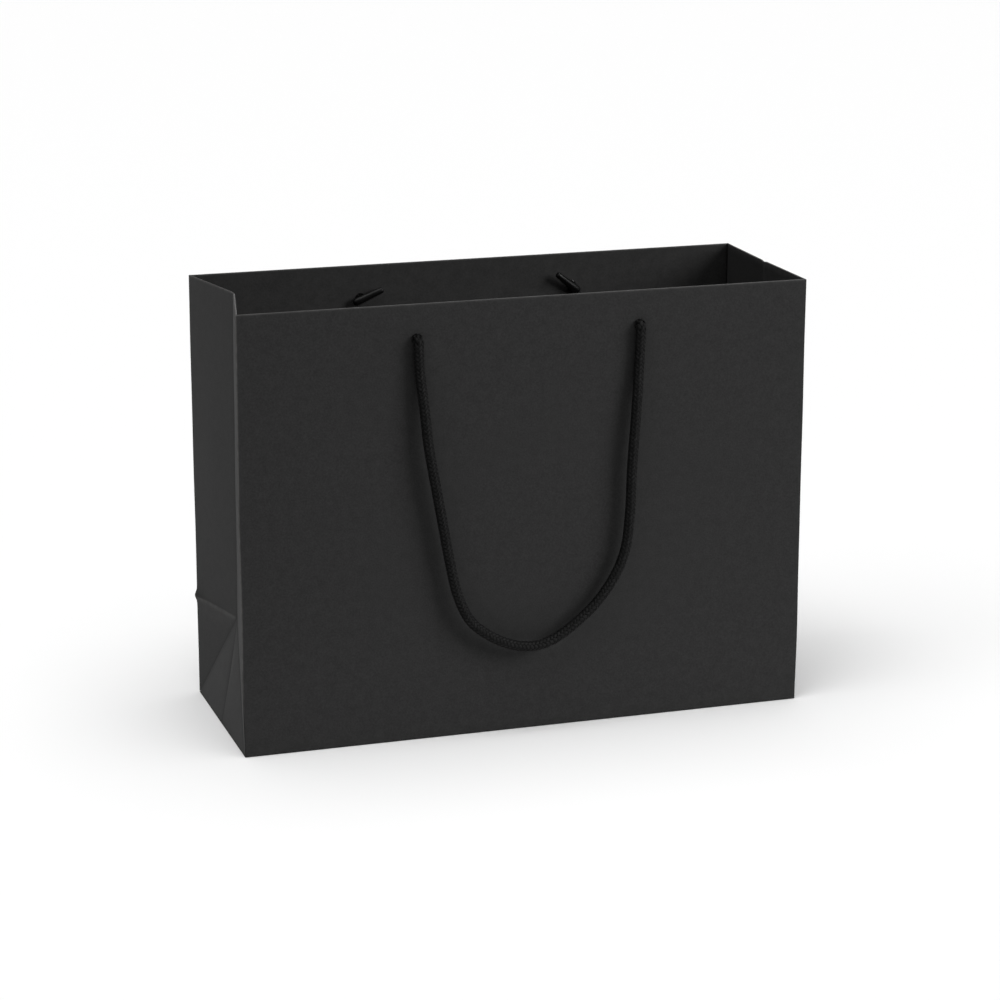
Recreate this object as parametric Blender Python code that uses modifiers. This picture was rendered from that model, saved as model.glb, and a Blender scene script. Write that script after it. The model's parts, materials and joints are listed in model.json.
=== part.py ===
"""A paper carrier bag with two rope handles, one object for each panel, flap, card, rope and toggle.

Metres, +Z up. The front panel faces -Y, and the origin is the middle of the bottom.
Every empty sits on a crease or pivot, and the pieces that turn about it hang from it.
"""

import math

import bmesh
import bpy
from mathutils import Vector

# Outer size of the standing bag
BAG_WIDTH = 0.330
BAG_DEPTH = 0.118
BAG_HEIGHT = 0.250

# Sheet stock and the room left between its layers and at its creases
PAPER = 0.0004
TOP_CARD = 0.0006
BASE_CARD = 0.0012
LAYER_GAP = 0.0003
CREASE_GAP = 0.0002

# How far the gusset paper lets each side fold in, and how far each side is folded now, in degrees
GUSSET_FOLD = 10.0
LEFT_FOLD = GUSSET_FOLD
RIGHT_FOLD = 0.0

# Turned-over top edge
HEM_HEIGHT = 0.040
HEM_SETBACK = 0.003
GUSSET_HEM_SETBACK = 0.003
GUSSET_HEM_CREASE_ROOM = 0.001
TOP_CARD_HEIGHT = 0.036
TOP_CARD_END_ROOM = 0.001

# Glue seam inside the back
SEAM_WIDTH = 0.015
SEAM_SETBACK = 0.005
SEAM_END_ROOM = 0.003

# Bottom flaps and board
BACK_FLAP_DEPTH = 0.075
BACK_FLAP_TAPER = 0.012
SIDE_FLAP_DEPTH = 0.045
SIDE_FLAP_SETBACK = 0.002
FLAP_EDGE_ROOM = 0.0008
BOARD_INSET = 0.0035
BOARD_SIDE_INSET = 0.006

# Rope handles
ROPE_DIAMETER = 0.0058
HOLE_CLEARANCE = 0.0003
HOLE_SPACING = 0.129
HOLE_DROP = 0.0195
ROPE_DROP = 0.1795
ROPE_STANDOFF = 0.0031
ROPE_SWING_OUT = 0.004
ROPE_SAMPLES_PER_SPAN = 2

# Toggles on the rope ends
TOGGLE_LENGTH = 0.0135
TOGGLE_HEEL = 0.0055
TOGGLE_RADIUS = 0.0024
TOGGLE_TIP_RADIUS = 0.0018
TOGGLE_TIP_ROUND = 0.0004
TOGGLE_WALL_ROOM = 0.0008
STEM_RADIUS = 0.0020
ROUND_STEPS = 24
ROUND_END_STEPS = 6

# Each toggle: its corner, how far its arm points above level, and how far it leans off the wall, in degrees
TOGGLES = {
    "front_left": (-1, -1, 30.0, 4.0),
    "front_right": (1, -1, 26.0, 4.0),
    "back_left": (-1, 1, 23.0, 4.0),
    "back_right": (1, 1, 38.0, 10.0),
}

# The hanging rope, hole to hole: place across the hole spacing, share of the drop, share of the swing out
ROPE_ROUTE = [
    (-1.00, 0.00, 0.00),
    (-0.99, 0.10, 0.02),
    (-0.96, 0.21, 0.45),
    (-0.93, 0.33, 0.85),
    (-0.87, 0.46, 1.00),
    (-0.81, 0.58, 1.00),
    (-0.75, 0.70, 1.00),
    (-0.68, 0.81, 1.00),
    (-0.57, 0.895, 1.00),
    (-0.40, 0.95, 1.00),
    (-0.19, 0.988, 1.00),
    (0.02, 1.00, 1.00),
    (0.20, 0.983, 1.00),
    (0.39, 0.94, 1.00),
    (0.59, 0.877, 1.00),
    (0.75, 0.80, 1.00),
    (0.855, 0.71, 1.00),
    (0.895, 0.59, 1.00),
    (0.91, 0.445, 0.95),
    (0.95, 0.265, 0.65),
    (0.985, 0.11, 0.03),
    (1.00, 0.00, 0.00),
]

# Values that follow from the sizes above
HALF_WIDTH = BAG_WIDTH / 2
HALF_DEPTH = BAG_DEPTH / 2
INNER_X = HALF_WIDTH - PAPER
INNER_Y = HALF_DEPTH - PAPER
LAPPED_X = INNER_X - PAPER - LAYER_GAP
CROSS_CREASE = HALF_DEPTH
GUSSET_HALF = INNER_Y / math.cos(math.radians(GUSSET_FOLD))
GUSSET_LAP = GUSSET_HALF - INNER_Y
LAYER = PAPER + LAYER_GAP
PANEL_HEM_DEPTH = 2 * PAPER + 2 * LAYER_GAP + TOP_CARD
GUSSET_HEM_DEPTH = 2 * PAPER + LAYER_GAP
ROPE_RADIUS = ROPE_DIAMETER / 2
HOLE_RADIUS = ROPE_RADIUS + HOLE_CLEARANCE
HOLE_HEIGHT = BAG_HEIGHT - HOLE_DROP
ROPE_AXIS_Y = HALF_DEPTH + ROPE_STANDOFF
ELBOW_DEPTH = PANEL_HEM_DEPTH + TOGGLE_WALL_ROOM + TOGGLE_RADIUS
RIGHT_ANGLE = math.radians(90)
HALF_TURN = math.radians(180)
PIVOT_MARK = 0.015
SAME_PLACE = 0.000001


def clear_scene():
    """Remove whatever the file opened with."""
    for old in list(bpy.data.objects):
        bpy.data.objects.remove(old, do_unlink=True)


def new_collection(name, hidden):
    group = bpy.data.collections.new(name)
    group.hide_render = hidden
    bpy.context.scene.collection.children.link(group)
    return group


def plain_material(name, colour, roughness):
    """A Principled material with one colour."""
    material = bpy.data.materials.new(name)
    material.use_nodes = True
    shader = material.node_tree.nodes["Principled BSDF"]
    shader.inputs["Base Color"].default_value = (*colour, 1.0)
    shader.inputs["Roughness"].default_value = roughness
    shader.inputs["Metallic"].default_value = 0.0
    return material


def pivot(name, place):
    """An empty on a crease or pivot axis."""
    empty = bpy.data.objects.new(name, None)
    empty.empty_display_size = PIVOT_MARK
    parts.objects.link(empty)
    empty.location = place
    return empty


def put(obj, parent, place, turn=(0.0, 0.0, 0.0), material=None, group=None):
    """Place an object in the bag's frame and hang it from its pivot, if it has one."""
    (group or parts).objects.link(obj)
    obj.location = Vector(place) - parent.location if parent else place
    obj.rotation_euler = turn
    obj.parent = parent
    if material:
        obj.data.materials.append(material)
    return obj


def inset(outline, distance):
    """An anticlockwise outline with every side moved in by the same distance."""
    moved = []
    for index, corner in enumerate(outline):
        here = Vector(corner)
        arriving = (here - Vector(outline[index - 1])).normalized()
        leaving = (Vector(outline[(index + 1) % len(outline)]) - here).normalized()
        turn = arriving.x * leaving.y - arriving.y * leaving.x
        moved.append(tuple(here + (leaving - arriving) * distance / turn))
    return moved


def mirrored(outline):
    """The outline seen from the other side, still anticlockwise."""
    return [(-x, y) for x, y in reversed(outline)]


def turn_over(shape, hem_ends, depth, height):
    """Fold the top edge between two places inwards and down, as a hem."""
    low, high = hem_ends
    top = max(vert.co.y for vert in shape.verts)
    for edge in shape.edges:
        ends = sorted(vert.co.x for vert in edge.verts)
        level = all(abs(vert.co.y - top) < SAME_PLACE for vert in edge.verts)
        if level and abs(ends[0] - low) < SAME_PLACE and abs(ends[1] - high) < SAME_PLACE:
            hem_edge = edge
    for step in ((0.0, 0.0, -depth), (0.0, -height, 0.0)):
        made = bmesh.ops.extrude_edge_only(shape, edges=[hem_edge])["geom"]
        new_verts = [item for item in made if isinstance(item, bmesh.types.BMVert)]
        bmesh.ops.translate(shape, vec=step, verts=new_verts)
        new_edges = [item for item in made if isinstance(item, bmesh.types.BMEdge)]
        hem_edge = next(edge for edge in new_edges if set(edge.verts) == set(new_verts))


def sheet(name, outline, parent, place, turn, hem=None):
    """A paper facet whose outer face is the outline, thickened away from local +Z.

    hem is (its two ends along local X, its depth inwards, its height)."""
    shape = bmesh.new()
    points = list(outline)
    if hem:
        low, high = hem[0]
        top = max(y for x, y in points)
        level = [abs(y - top) < SAME_PLACE and x > low for x, y in points]
        right = max(index for index, on_top in enumerate(level) if on_top)
        points[right + 1:right + 1] = [(high, top), (low, top)]
    shape.faces.new([shape.verts.new((x, y, 0.0)) for x, y in points])
    if hem:
        turn_over(shape, *hem)
    bmesh.ops.recalc_face_normals(shape, faces=shape.faces[:])
    shape.faces.ensure_lookup_table()
    if shape.faces[0].normal.z < 0:
        bmesh.ops.reverse_faces(shape, faces=shape.faces[:])
    mesh = bpy.data.meshes.new(name)
    shape.to_mesh(mesh)
    shape.free()
    obj = put(bpy.data.objects.new(name, mesh), parent, place, turn, black_paper)
    thickness = obj.modifiers.new("paper thickness", "SOLIDIFY")
    thickness.thickness = PAPER
    thickness.offset = -1.0
    if hem:
        thickness.solidify_mode = "NON_MANIFOLD"
        thickness.nonmanifold_thickness_mode = "CONSTRAINTS"
    return obj


def box(name, size, parent, place, material):
    """A rectangular card."""
    shape = bmesh.new()
    bmesh.ops.create_cube(shape, size=1.0)
    bmesh.ops.scale(shape, vec=size, verts=shape.verts[:])
    mesh = bpy.data.meshes.new(name)
    shape.to_mesh(mesh)
    shape.free()
    return put(bpy.data.objects.new(name, mesh), parent, place, material=material)


def rod(name, radius, start_y, end_y, x, parent, material=None, group=None):
    """A round rod along Y at the height of the rope holes."""
    shape = bmesh.new()
    bmesh.ops.create_cone(
        shape,
        cap_ends=True,
        segments=ROUND_STEPS,
        radius1=radius,
        radius2=radius,
        depth=abs(end_y - start_y),
    )
    mesh = bpy.data.meshes.new(name)
    shape.to_mesh(mesh)
    shape.free()
    middle = (x, (start_y + end_y) / 2, HOLE_HEIGHT)
    obj = bpy.data.objects.new(name, mesh)
    return put(obj, parent, middle, (RIGHT_ANGLE, 0.0, 0.0), material, group)


def combine(obj, other, operation):
    """Join or cut with another mesh."""
    modifier = obj.modifiers.new(f"{operation.lower()} {other.name}", "BOOLEAN")
    modifier.operation = operation
    modifier.solver = "EXACT"
    modifier.object = other


def helper(obj):
    """Mark an object as one that only shapes others."""
    obj.hide_render = True
    obj.display_type = "WIRE"
    return obj


def rope_holes(end, pieces):
    """Punch both rope holes of one wall through its panel, card and hem."""
    for side in (-1, 1):
        name = f"hole_cutter_{'front' if end < 0 else 'back'}_{'left' if side < 0 else 'right'}"
        outside = end * (HALF_DEPTH + PANEL_HEM_DEPTH)
        inside = end * (HALF_DEPTH - 2 * PANEL_HEM_DEPTH)
        cutter = rod(name, HOLE_RADIUS, outside, inside, side * HOLE_SPACING / 2, None, None, cutters)
        helper(cutter)
        for piece in pieces:
            combine(piece, cutter, "DIFFERENCE")


def panel_outline(low, high):
    return [(-HALF_WIDTH, low), (HALF_WIDTH, low), (HALF_WIDTH, high), (-HALF_WIDTH, high)]


def panel_hem():
    reach = HALF_WIDTH - HEM_SETBACK
    return ((-reach, reach), PANEL_HEM_DEPTH, HEM_HEIGHT)


def top_card(name, end):
    """The card strip inside a turned-over top edge."""
    length = 2 * (HALF_WIDTH - HEM_SETBACK - TOP_CARD_END_ROOM)
    across = end * (INNER_Y - LAYER_GAP - TOP_CARD / 2)
    middle = BAG_HEIGHT - LAYER - TOP_CARD_HEIGHT / 2
    return box(name, (length, TOP_CARD, TOP_CARD_HEIGHT), None, (0.0, across, middle), card)


def front_wall():
    """The front panel and its card."""
    facing_front = (RIGHT_ANGLE, 0.0, 0.0)
    outline = panel_outline(PAPER + CREASE_GAP, BAG_HEIGHT)
    panel = sheet("front_panel", outline, None, (0.0, -HALF_DEPTH, 0.0), facing_front, panel_hem())
    rope_holes(-1, [panel, top_card("front_top_card", -1)])


def back_wall():
    """The back panel above its cross crease, with its card and the glue seam."""
    facing_back = (RIGHT_ANGLE, 0.0, HALF_TURN)
    outline = panel_outline(CROSS_CREASE + CREASE_GAP, BAG_HEIGHT)
    panel = sheet("back_panel", outline, None, (0.0, HALF_DEPTH, 0.0), facing_back, panel_hem())
    rope_holes(1, [panel, top_card("back_top_card", 1)])
    outer = INNER_X - SEAM_SETBACK
    low = CROSS_CREASE + SEAM_END_ROOM
    high = BAG_HEIGHT - HEM_HEIGHT - SEAM_END_ROOM
    seam = [(outer - SEAM_WIDTH, low), (outer, low), (outer, high), (outer - SEAM_WIDTH, high)]
    sheet("seam_flap", seam, None, (0.0, INNER_Y - LAYER_GAP, 0.0), facing_back)


def back_foot():
    """The back below its cross crease."""
    outline = panel_outline(PAPER + CREASE_GAP, CROSS_CREASE - CREASE_GAP)
    facing_back = (RIGHT_ANGLE, 0.0, HALF_TURN)
    sheet("back_foot_panel", outline, None, (0.0, HALF_DEPTH, 0.0), facing_back)


def gusset_hem():
    """Where a gusset half is turned over at the top, from its corner towards the centre crease."""
    ends = (GUSSET_HEM_SETBACK, INNER_Y - GUSSET_LAP - GUSSET_HEM_CREASE_ROOM)
    return (ends, GUSSET_HEM_DEPTH, HEM_HEIGHT)


def gusset_facet(name, outline, side, end, fold, parent, hem=None):
    """One upright gusset facet, drawn from its corner towards the centre crease.

    The back facets sit one layer in, so that the halves lap at the crease when the gusset is flat."""
    angle = math.radians(fold)
    outward = Vector((side * math.cos(angle), -end * math.sin(angle), 0.0))
    corner = Vector((side * (INNER_X if end < 0 else LAPPED_X), end * INNER_Y, 0.0))
    turn = (RIGHT_ANGLE, 0.0, math.atan2(outward.x, -outward.y))
    if side * end > 0:
        outline = mirrored(outline)
        if hem:
            (low, high), depth, height = hem
            hem = ((-high, -low), depth, height)
    return sheet(name, outline, parent, corner + outward * PAPER, turn, hem)


def gusset_front(name, side, fold, parent):
    """The front half of a gusset, down to its diagonal crease."""
    top = BAG_HEIGHT + CREASE_GAP
    diagonal = [(0.0, PAPER), (INNER_Y, CROSS_CREASE)]
    corners = diagonal + [(GUSSET_HALF, CROSS_CREASE), (GUSSET_HALF, top), (0.0, top)]
    gusset_facet(name, inset(corners, CREASE_GAP), side, -1, fold, parent, gusset_hem())


def gusset_back(name, side, fold, parent):
    """The back half of a gusset, above its cross crease."""
    top = BAG_HEIGHT + CREASE_GAP
    corners = [(0.0, CROSS_CREASE), (GUSSET_HALF, CROSS_CREASE), (GUSSET_HALF, top), (0.0, top)]
    gusset_facet(name, inset(corners, CREASE_GAP), side, 1, fold, parent, gusset_hem())


def corner_triangle(name, side, fold, parent):
    """The small triangle between the back corner, the cross crease and the back diagonal."""
    corners = [(0.0, PAPER), (INNER_Y, CROSS_CREASE), (0.0, CROSS_CREASE)]
    gusset_facet(name, inset(corners, CREASE_GAP), side, 1, fold, parent)


def foot_triangle(name, side, fold, parent):
    """The triangle that stands on a side edge of the base and leans in to the foot of the crease."""
    angle = math.radians(fold)
    corners = [(-INNER_Y, 0.0), (INNER_Y, 0.0), (0.0, CROSS_CREASE - PAPER)]
    outward = Vector((side * math.cos(angle), 0.0, math.sin(angle)))
    edge = Vector((side * INNER_X, 0.0, PAPER))
    turn = (RIGHT_ANGLE - angle, 0.0, side * RIGHT_ANGLE)
    sheet(name, inset(corners, CREASE_GAP), parent, edge + outward * PAPER, turn)


def gusset(word, side, fold):
    """A side gusset: its halves turn on the bag's upright corners, its foot on the edge of the base."""
    front_corner = pivot(f"{word}_front_crease", (side * INNER_X, -INNER_Y, 0.0))
    gusset_front(f"{word}_gusset_front", side, fold, front_corner)
    back_corner = pivot(f"{word}_back_crease", (side * LAPPED_X, INNER_Y, 0.0))
    gusset_back(f"{word}_gusset_back", side, fold, back_corner)
    corner_triangle(f"{word}_corner_triangle", side, fold, back_corner)
    base_edge = pivot(f"{word}_base_crease", (side * INNER_X, 0.0, PAPER))
    foot_triangle(f"{word}_foot_triangle", side, fold, base_edge)


def base_flaps():
    """The four glued bottom flaps, the outermost lying on the floor, and the board on top of them."""
    face_down = (HALF_TURN, 0.0, 0.0)
    face_down_turned = (HALF_TURN, 0.0, HALF_TURN)
    outline = panel_outline(-HALF_DEPTH, HALF_DEPTH)
    sheet("base_front_flap", outline, None, (0.0, 0.0, 0.0), face_down)
    wide = INNER_X - FLAP_EDGE_ROOM
    narrow = wide - BACK_FLAP_TAPER
    far = -(INNER_Y - CREASE_GAP)
    near = far + BACK_FLAP_DEPTH
    outline = [(-wide, far), (wide, far), (narrow, near), (-narrow, near)]
    sheet("base_back_flap", outline, None, (0.0, 0.0, LAYER), face_down)
    half_edge = INNER_Y - SIDE_FLAP_SETBACK
    half_free = half_edge - SIDE_FLAP_DEPTH
    inner = wide - SIDE_FLAP_DEPTH
    outline = [(inner, -half_free), (wide, -half_edge), (wide, half_edge), (inner, half_free)]
    sheet("base_right_flap", outline, None, (0.0, 0.0, 2 * LAYER), face_down)
    sheet("base_left_flap", outline, None, (0.0, 0.0, 2 * LAYER), face_down_turned)
    size = (2 * (INNER_X - BOARD_SIDE_INSET), 2 * (INNER_Y - BOARD_INSET), BASE_CARD)
    box("base_board", size, None, (0.0, 0.0, 3 * LAYER + BASE_CARD / 2), card)


def smooth_route(points, samples):
    """A Catmull-Rom curve through the points."""
    first = 2 * points[0] - points[1]
    last = 2 * points[-1] - points[-2]
    padded = [first, *points, last]
    curve = []
    for index in range(1, len(padded) - 2):
        before, start, stop, after = padded[index - 1:index + 3]
        for sample in range(samples):
            t = sample / samples
            bend = 2 * before - 5 * start + 4 * stop - after
            swing = 3 * (start - stop) + after - before
            curve.append((2 * start + t * (stop - before) + t**2 * bend + t**3 * swing) / 2)
    return curve + [points[-1]]


def rope_handle(name, end, parent):
    """The rope between its two holes, hanging outside its panel."""
    points = [
        Vector((across * HOLE_SPACING / 2, -out * ROPE_SWING_OUT, -drop * ROPE_DROP))
        for across, drop, out in ROPE_ROUTE
    ]
    route = smooth_route(points, ROPE_SAMPLES_PER_SPAN)
    data = bpy.data.curves.new(name, "CURVE")
    data.dimensions = "3D"
    data.bevel_depth = ROPE_RADIUS
    data.bevel_resolution = 3
    data.use_fill_caps = True
    spline = data.splines.new("POLY")
    spline.points.add(len(route) - 1)
    for point, place in zip(spline.points, route):
        point.co = (*place, 1.0)
    turn = (0.0, 0.0, 0.0 if end < 0 else HALF_TURN)
    put(bpy.data.objects.new(name, data), parent, parent.location, turn, black_rope)


def toggle_arm(name, parent, turn):
    """A turned, tapering bar with a round heel behind its pivot and a nearly square tip."""
    profile = []
    heel_centre = TOGGLE_RADIUS - TOGGLE_HEEL
    for step in range(ROUND_END_STEPS + 1):
        angle = (step / ROUND_END_STEPS - 1) * RIGHT_ANGLE
        profile.append((TOGGLE_RADIUS * math.cos(angle), heel_centre + TOGGLE_RADIUS * math.sin(angle)))
    profile.append((TOGGLE_TIP_RADIUS, TOGGLE_LENGTH - TOGGLE_TIP_ROUND))
    profile.append((TOGGLE_TIP_RADIUS - TOGGLE_TIP_ROUND, TOGGLE_LENGTH))
    profile.append((0.0, TOGGLE_LENGTH))
    profile[0] = (0.0, -TOGGLE_HEEL)
    shape = bmesh.new()
    verts = [shape.verts.new((radius, 0.0, height)) for radius, height in profile]
    for start, stop in zip(verts, verts[1:]):
        shape.edges.new((start, stop))
    mesh = bpy.data.meshes.new(name)
    shape.to_mesh(mesh)
    shape.free()
    obj = put(bpy.data.objects.new(name, mesh), parent, parent.location, turn, black_plastic)
    screw = obj.modifiers.new("turned", "SCREW")
    screw.steps = ROUND_STEPS
    screw.render_steps = ROUND_STEPS
    screw.use_merge_vertices = True
    screw.merge_threshold = 0.00001
    screw.use_normal_calculate = True
    return obj


def rope_end(name, side, end, rise, lean):
    """The rope's tail through its hole and the toggle that stops it inside."""
    x = side * HOLE_SPACING / 2
    elbow = end * (HALF_DEPTH - ELBOW_DEPTH)
    parent = pivot(f"{name}_toggle_pivot", (x, elbow, HOLE_HEIGHT))
    hem_face = end * (HALF_DEPTH - PANEL_HEM_DEPTH)
    rod(f"{name}_rope_tail", ROPE_RADIUS, end * HALF_DEPTH, hem_face, x, parent, black_rope)
    turn = (end * math.radians(lean), -side * math.radians(90 - rise), 0.0)
    arm = toggle_arm(f"{name}_toggle", parent, turn)
    stem_end = hem_face - end * LAYER_GAP
    stem = helper(rod(f"{name}_stem", STEM_RADIUS, stem_end, elbow, x, parent, None, cutters))
    combine(arm, stem, "UNION")


clear_scene()
parts = new_collection("paper_carrier_bag", False)
cutters = new_collection("cutters", True)
black_paper = plain_material("black paper", (0.024, 0.024, 0.025), 0.75)
card = plain_material("grey card", (0.20, 0.19, 0.18), 0.85)
black_rope = plain_material("black braided rope", (0.012, 0.012, 0.013), 0.8)
black_plastic = plain_material("black plastic", (0.01, 0.01, 0.011), 0.25)

# Bottom and walls, which stand still
base_flaps()
front_wall()
back_wall()
back_foot()

# Side gussets
gusset("left", -1, LEFT_FOLD)
gusset("right", 1, RIGHT_FOLD)

# Handles, and the rope ends inside
rope_handle("front_rope", -1, pivot("front_handle_axis", (0.0, -ROPE_AXIS_Y, HOLE_HEIGHT)))
rope_handle("back_rope", 1, pivot("back_handle_axis", (0.0, ROPE_AXIS_Y, HOLE_HEIGHT)))
for name, (side, end, rise, lean) in TOGGLES.items():
    rope_end(name, side, end, rise, lean)
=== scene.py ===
# %% [markdown]
# # A black paper carrier bag with two rope handles
# The imported CAD model gives every piece of this bag its place. This lesson gives each piece the look
# of the real one: folded paper, braided rope and moulded plastic. We start by loading the CAD model
# as a fixed frame, and print the size of its box.

# %% Load the frame
import json
import math

import bpy
import numpy as np
from mathutils import Matrix, Vector

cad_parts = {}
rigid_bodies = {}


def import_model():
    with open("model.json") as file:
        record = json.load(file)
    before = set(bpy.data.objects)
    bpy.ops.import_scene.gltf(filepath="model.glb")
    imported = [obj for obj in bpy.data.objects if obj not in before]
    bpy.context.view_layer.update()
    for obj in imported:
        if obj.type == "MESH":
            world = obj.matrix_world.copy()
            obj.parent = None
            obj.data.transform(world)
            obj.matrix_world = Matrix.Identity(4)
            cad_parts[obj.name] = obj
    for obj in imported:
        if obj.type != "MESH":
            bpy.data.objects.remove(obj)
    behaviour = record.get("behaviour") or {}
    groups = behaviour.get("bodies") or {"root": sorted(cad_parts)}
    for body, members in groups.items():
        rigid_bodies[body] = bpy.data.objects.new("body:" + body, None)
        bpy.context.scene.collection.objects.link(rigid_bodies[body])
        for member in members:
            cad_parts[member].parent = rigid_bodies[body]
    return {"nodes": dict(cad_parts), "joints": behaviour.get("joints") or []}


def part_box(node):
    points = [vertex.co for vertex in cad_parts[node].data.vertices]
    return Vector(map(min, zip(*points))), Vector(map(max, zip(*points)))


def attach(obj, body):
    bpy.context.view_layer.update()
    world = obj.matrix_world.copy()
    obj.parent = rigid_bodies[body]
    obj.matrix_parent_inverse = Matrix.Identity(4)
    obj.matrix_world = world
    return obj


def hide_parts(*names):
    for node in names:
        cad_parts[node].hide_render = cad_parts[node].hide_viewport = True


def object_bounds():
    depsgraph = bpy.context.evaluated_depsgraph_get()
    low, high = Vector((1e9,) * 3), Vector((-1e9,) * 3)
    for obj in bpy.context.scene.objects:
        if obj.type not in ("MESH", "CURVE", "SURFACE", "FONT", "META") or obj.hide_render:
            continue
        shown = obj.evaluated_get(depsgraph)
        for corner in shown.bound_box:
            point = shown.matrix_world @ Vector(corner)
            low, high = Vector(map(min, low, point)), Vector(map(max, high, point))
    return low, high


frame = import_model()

cad_low, cad_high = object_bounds()
print("CAD box in mm:", [round(1000 * (high - low), 1) for low, high in zip(cad_low, cad_high)])

# %% [markdown]
# A bag is a few driving sizes, and the frame holds them all. The front panel gives the width, the
# height and the place of the front, the lowest flap gives the thickness of the paper, and the
# joints of the handles and toggles give the places of the four rope holes.

# %% Sizes from the frame
MM = 0.001
RIGHT_ANGLE = math.radians(90)

panel_low, panel_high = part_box("front_panel")
flap_low, flap_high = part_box("base_front_flap")
tail_low, tail_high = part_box("front_left_rope_tail")
joints = {joint["name"]: joint for joint in frame["joints"]}
handle_axis = joints["front_handle_swing"]["pos_m"]
toggle_pivot = joints["front_right_toggle_swivel"]["pos_m"]

HALF_WIDTH = (panel_high[0] - panel_low[0]) / 2
HALF_DEPTH = (flap_high[1] - flap_low[1]) / 2
HEIGHT = round(panel_high[2], 4)
PAPER = flap_high[2] - flap_low[2]
HEM_DEPTH = round(panel_high[1] - panel_low[1], 4)
HOLE_X = toggle_pivot[0]
HOLE_Z = toggle_pivot[2]
ROPE_DIAMETER = round(tail_high[2] - tail_low[2], 4)
ROPE_AXIS_Y = -handle_axis[1]
TOGGLE_AXIS_Y = -toggle_pivot[1]
print(f"Bag {2 * HALF_WIDTH / MM:.1f} x {2 * HALF_DEPTH / MM:.1f} x {HEIGHT / MM:.1f} mm")

# %% [markdown]
# The camera stands where the photographer stood: a little above the bag and to its left, far away
# with a long lens, so the upright edges stay nearly parallel. The view is found by matching the
# bag's corners, and it is written as a place, a turn, a tilt and a lens.

# %% Camera
CAMERA_PLACE = (-0.51168, -1.5910, 0.57866)
CAMERA_TURN = math.radians(-17.899)
CAMERA_TILT = math.radians(90 - 15.378)
CAMERA_ROLL = math.radians(0.075)
CAMERA_LENS = 107.99

camera_turned = Matrix.Rotation(CAMERA_TURN, 4, "Z") @ Matrix.Rotation(CAMERA_TILT, 4, "X")
camera_turned = camera_turned @ Matrix.Rotation(CAMERA_ROLL, 4, "Z")
bpy.ops.object.camera_add(location=CAMERA_PLACE, rotation=camera_turned.to_euler())
camera = bpy.context.object
camera.data.lens = CAMERA_LENS
camera.data.sensor_width = 36.0
camera.data.clip_end = 50.0
bpy.context.scene.camera = camera
print("Camera with a lens of", CAMERA_LENS, "mm")

# %% [markdown]
# The rope handles come before the paper, because they are the only free cords. Each rope leaves one
# hole, turns down over a tight elbow, hangs in a lopsided bow against its panel and goes back in at
# the other hole. The route is a short list of points: how far across from the middle,
# how far down, and how far the rope stands out. A smooth curve is drawn through them.

# %% The rope's route
ROPE_DROP = 179.5 * MM
ROPE_SWING_OUT = 4.0 * MM
ROPE_ELBOW = 2.0 * MM
ROPE_IN_HOLE = 0.3 * MM
RING_STEP = 0.55 * MM
ROUTE_SAMPLES = 40
ELBOW_POINTS = 9
LEAST_STEPS = 8
ROPE_ROUTE = (
    (-1.0, 0.0, 0.0), (-0.99, 0.10, 0.02), (-0.96, 0.21, 0.45), (-0.93, 0.33, 0.85),
    (-0.87, 0.46, 1.0), (-0.81, 0.58, 1.0), (-0.75, 0.70, 1.0), (-0.68, 0.81, 1.0),
    (-0.57, 0.895, 1.0), (-0.40, 0.95, 1.0), (-0.19, 0.988, 1.0), (0.02, 1.0, 1.0),
    (0.20, 0.983, 1.0), (0.39, 0.94, 1.0), (0.59, 0.877, 1.0), (0.75, 0.80, 1.0),
    (0.855, 0.71, 1.0), (0.895, 0.59, 1.0), (0.91, 0.445, 0.95), (0.95, 0.265, 0.65),
    (0.985, 0.11, 0.03), (1.0, 0.0, 0.0),
)


def smooth_route(points):
    """A Catmull-Rom curve through the points."""
    padded = np.vstack([2 * points[0] - points[1], points, 2 * points[-1] - points[-2]])
    t = np.linspace(0, 1, ROUTE_SAMPLES, endpoint=False)[:, None]
    spans = []
    for before, start, stop, after in zip(padded, padded[1:], padded[2:], padded[3:]):
        bend = 2 * before - 5 * start + 4 * stop - after
        swing = 3 * (start - stop) + after - before
        spans.append((2 * start + t * (stop - before) + t**2 * bend + t**3 * swing) / 2)
    return np.vstack([*spans, points[-1:]])


def run_along(points):
    """How far along a line each of its points lies."""
    return np.concatenate([[0], np.cumsum(np.linalg.norm(np.diff(points, axis=0), axis=1))])


def even_steps(points, step):
    """The same line with points at even steps along it, and its length."""
    along = run_along(points)
    wanted = np.linspace(0, along[-1], max(LEAST_STEPS, round(along[-1] / step)) + 1)
    return np.column_stack([np.interp(wanted, along, points[:, axis]) for axis in range(3)]), along[-1]


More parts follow.
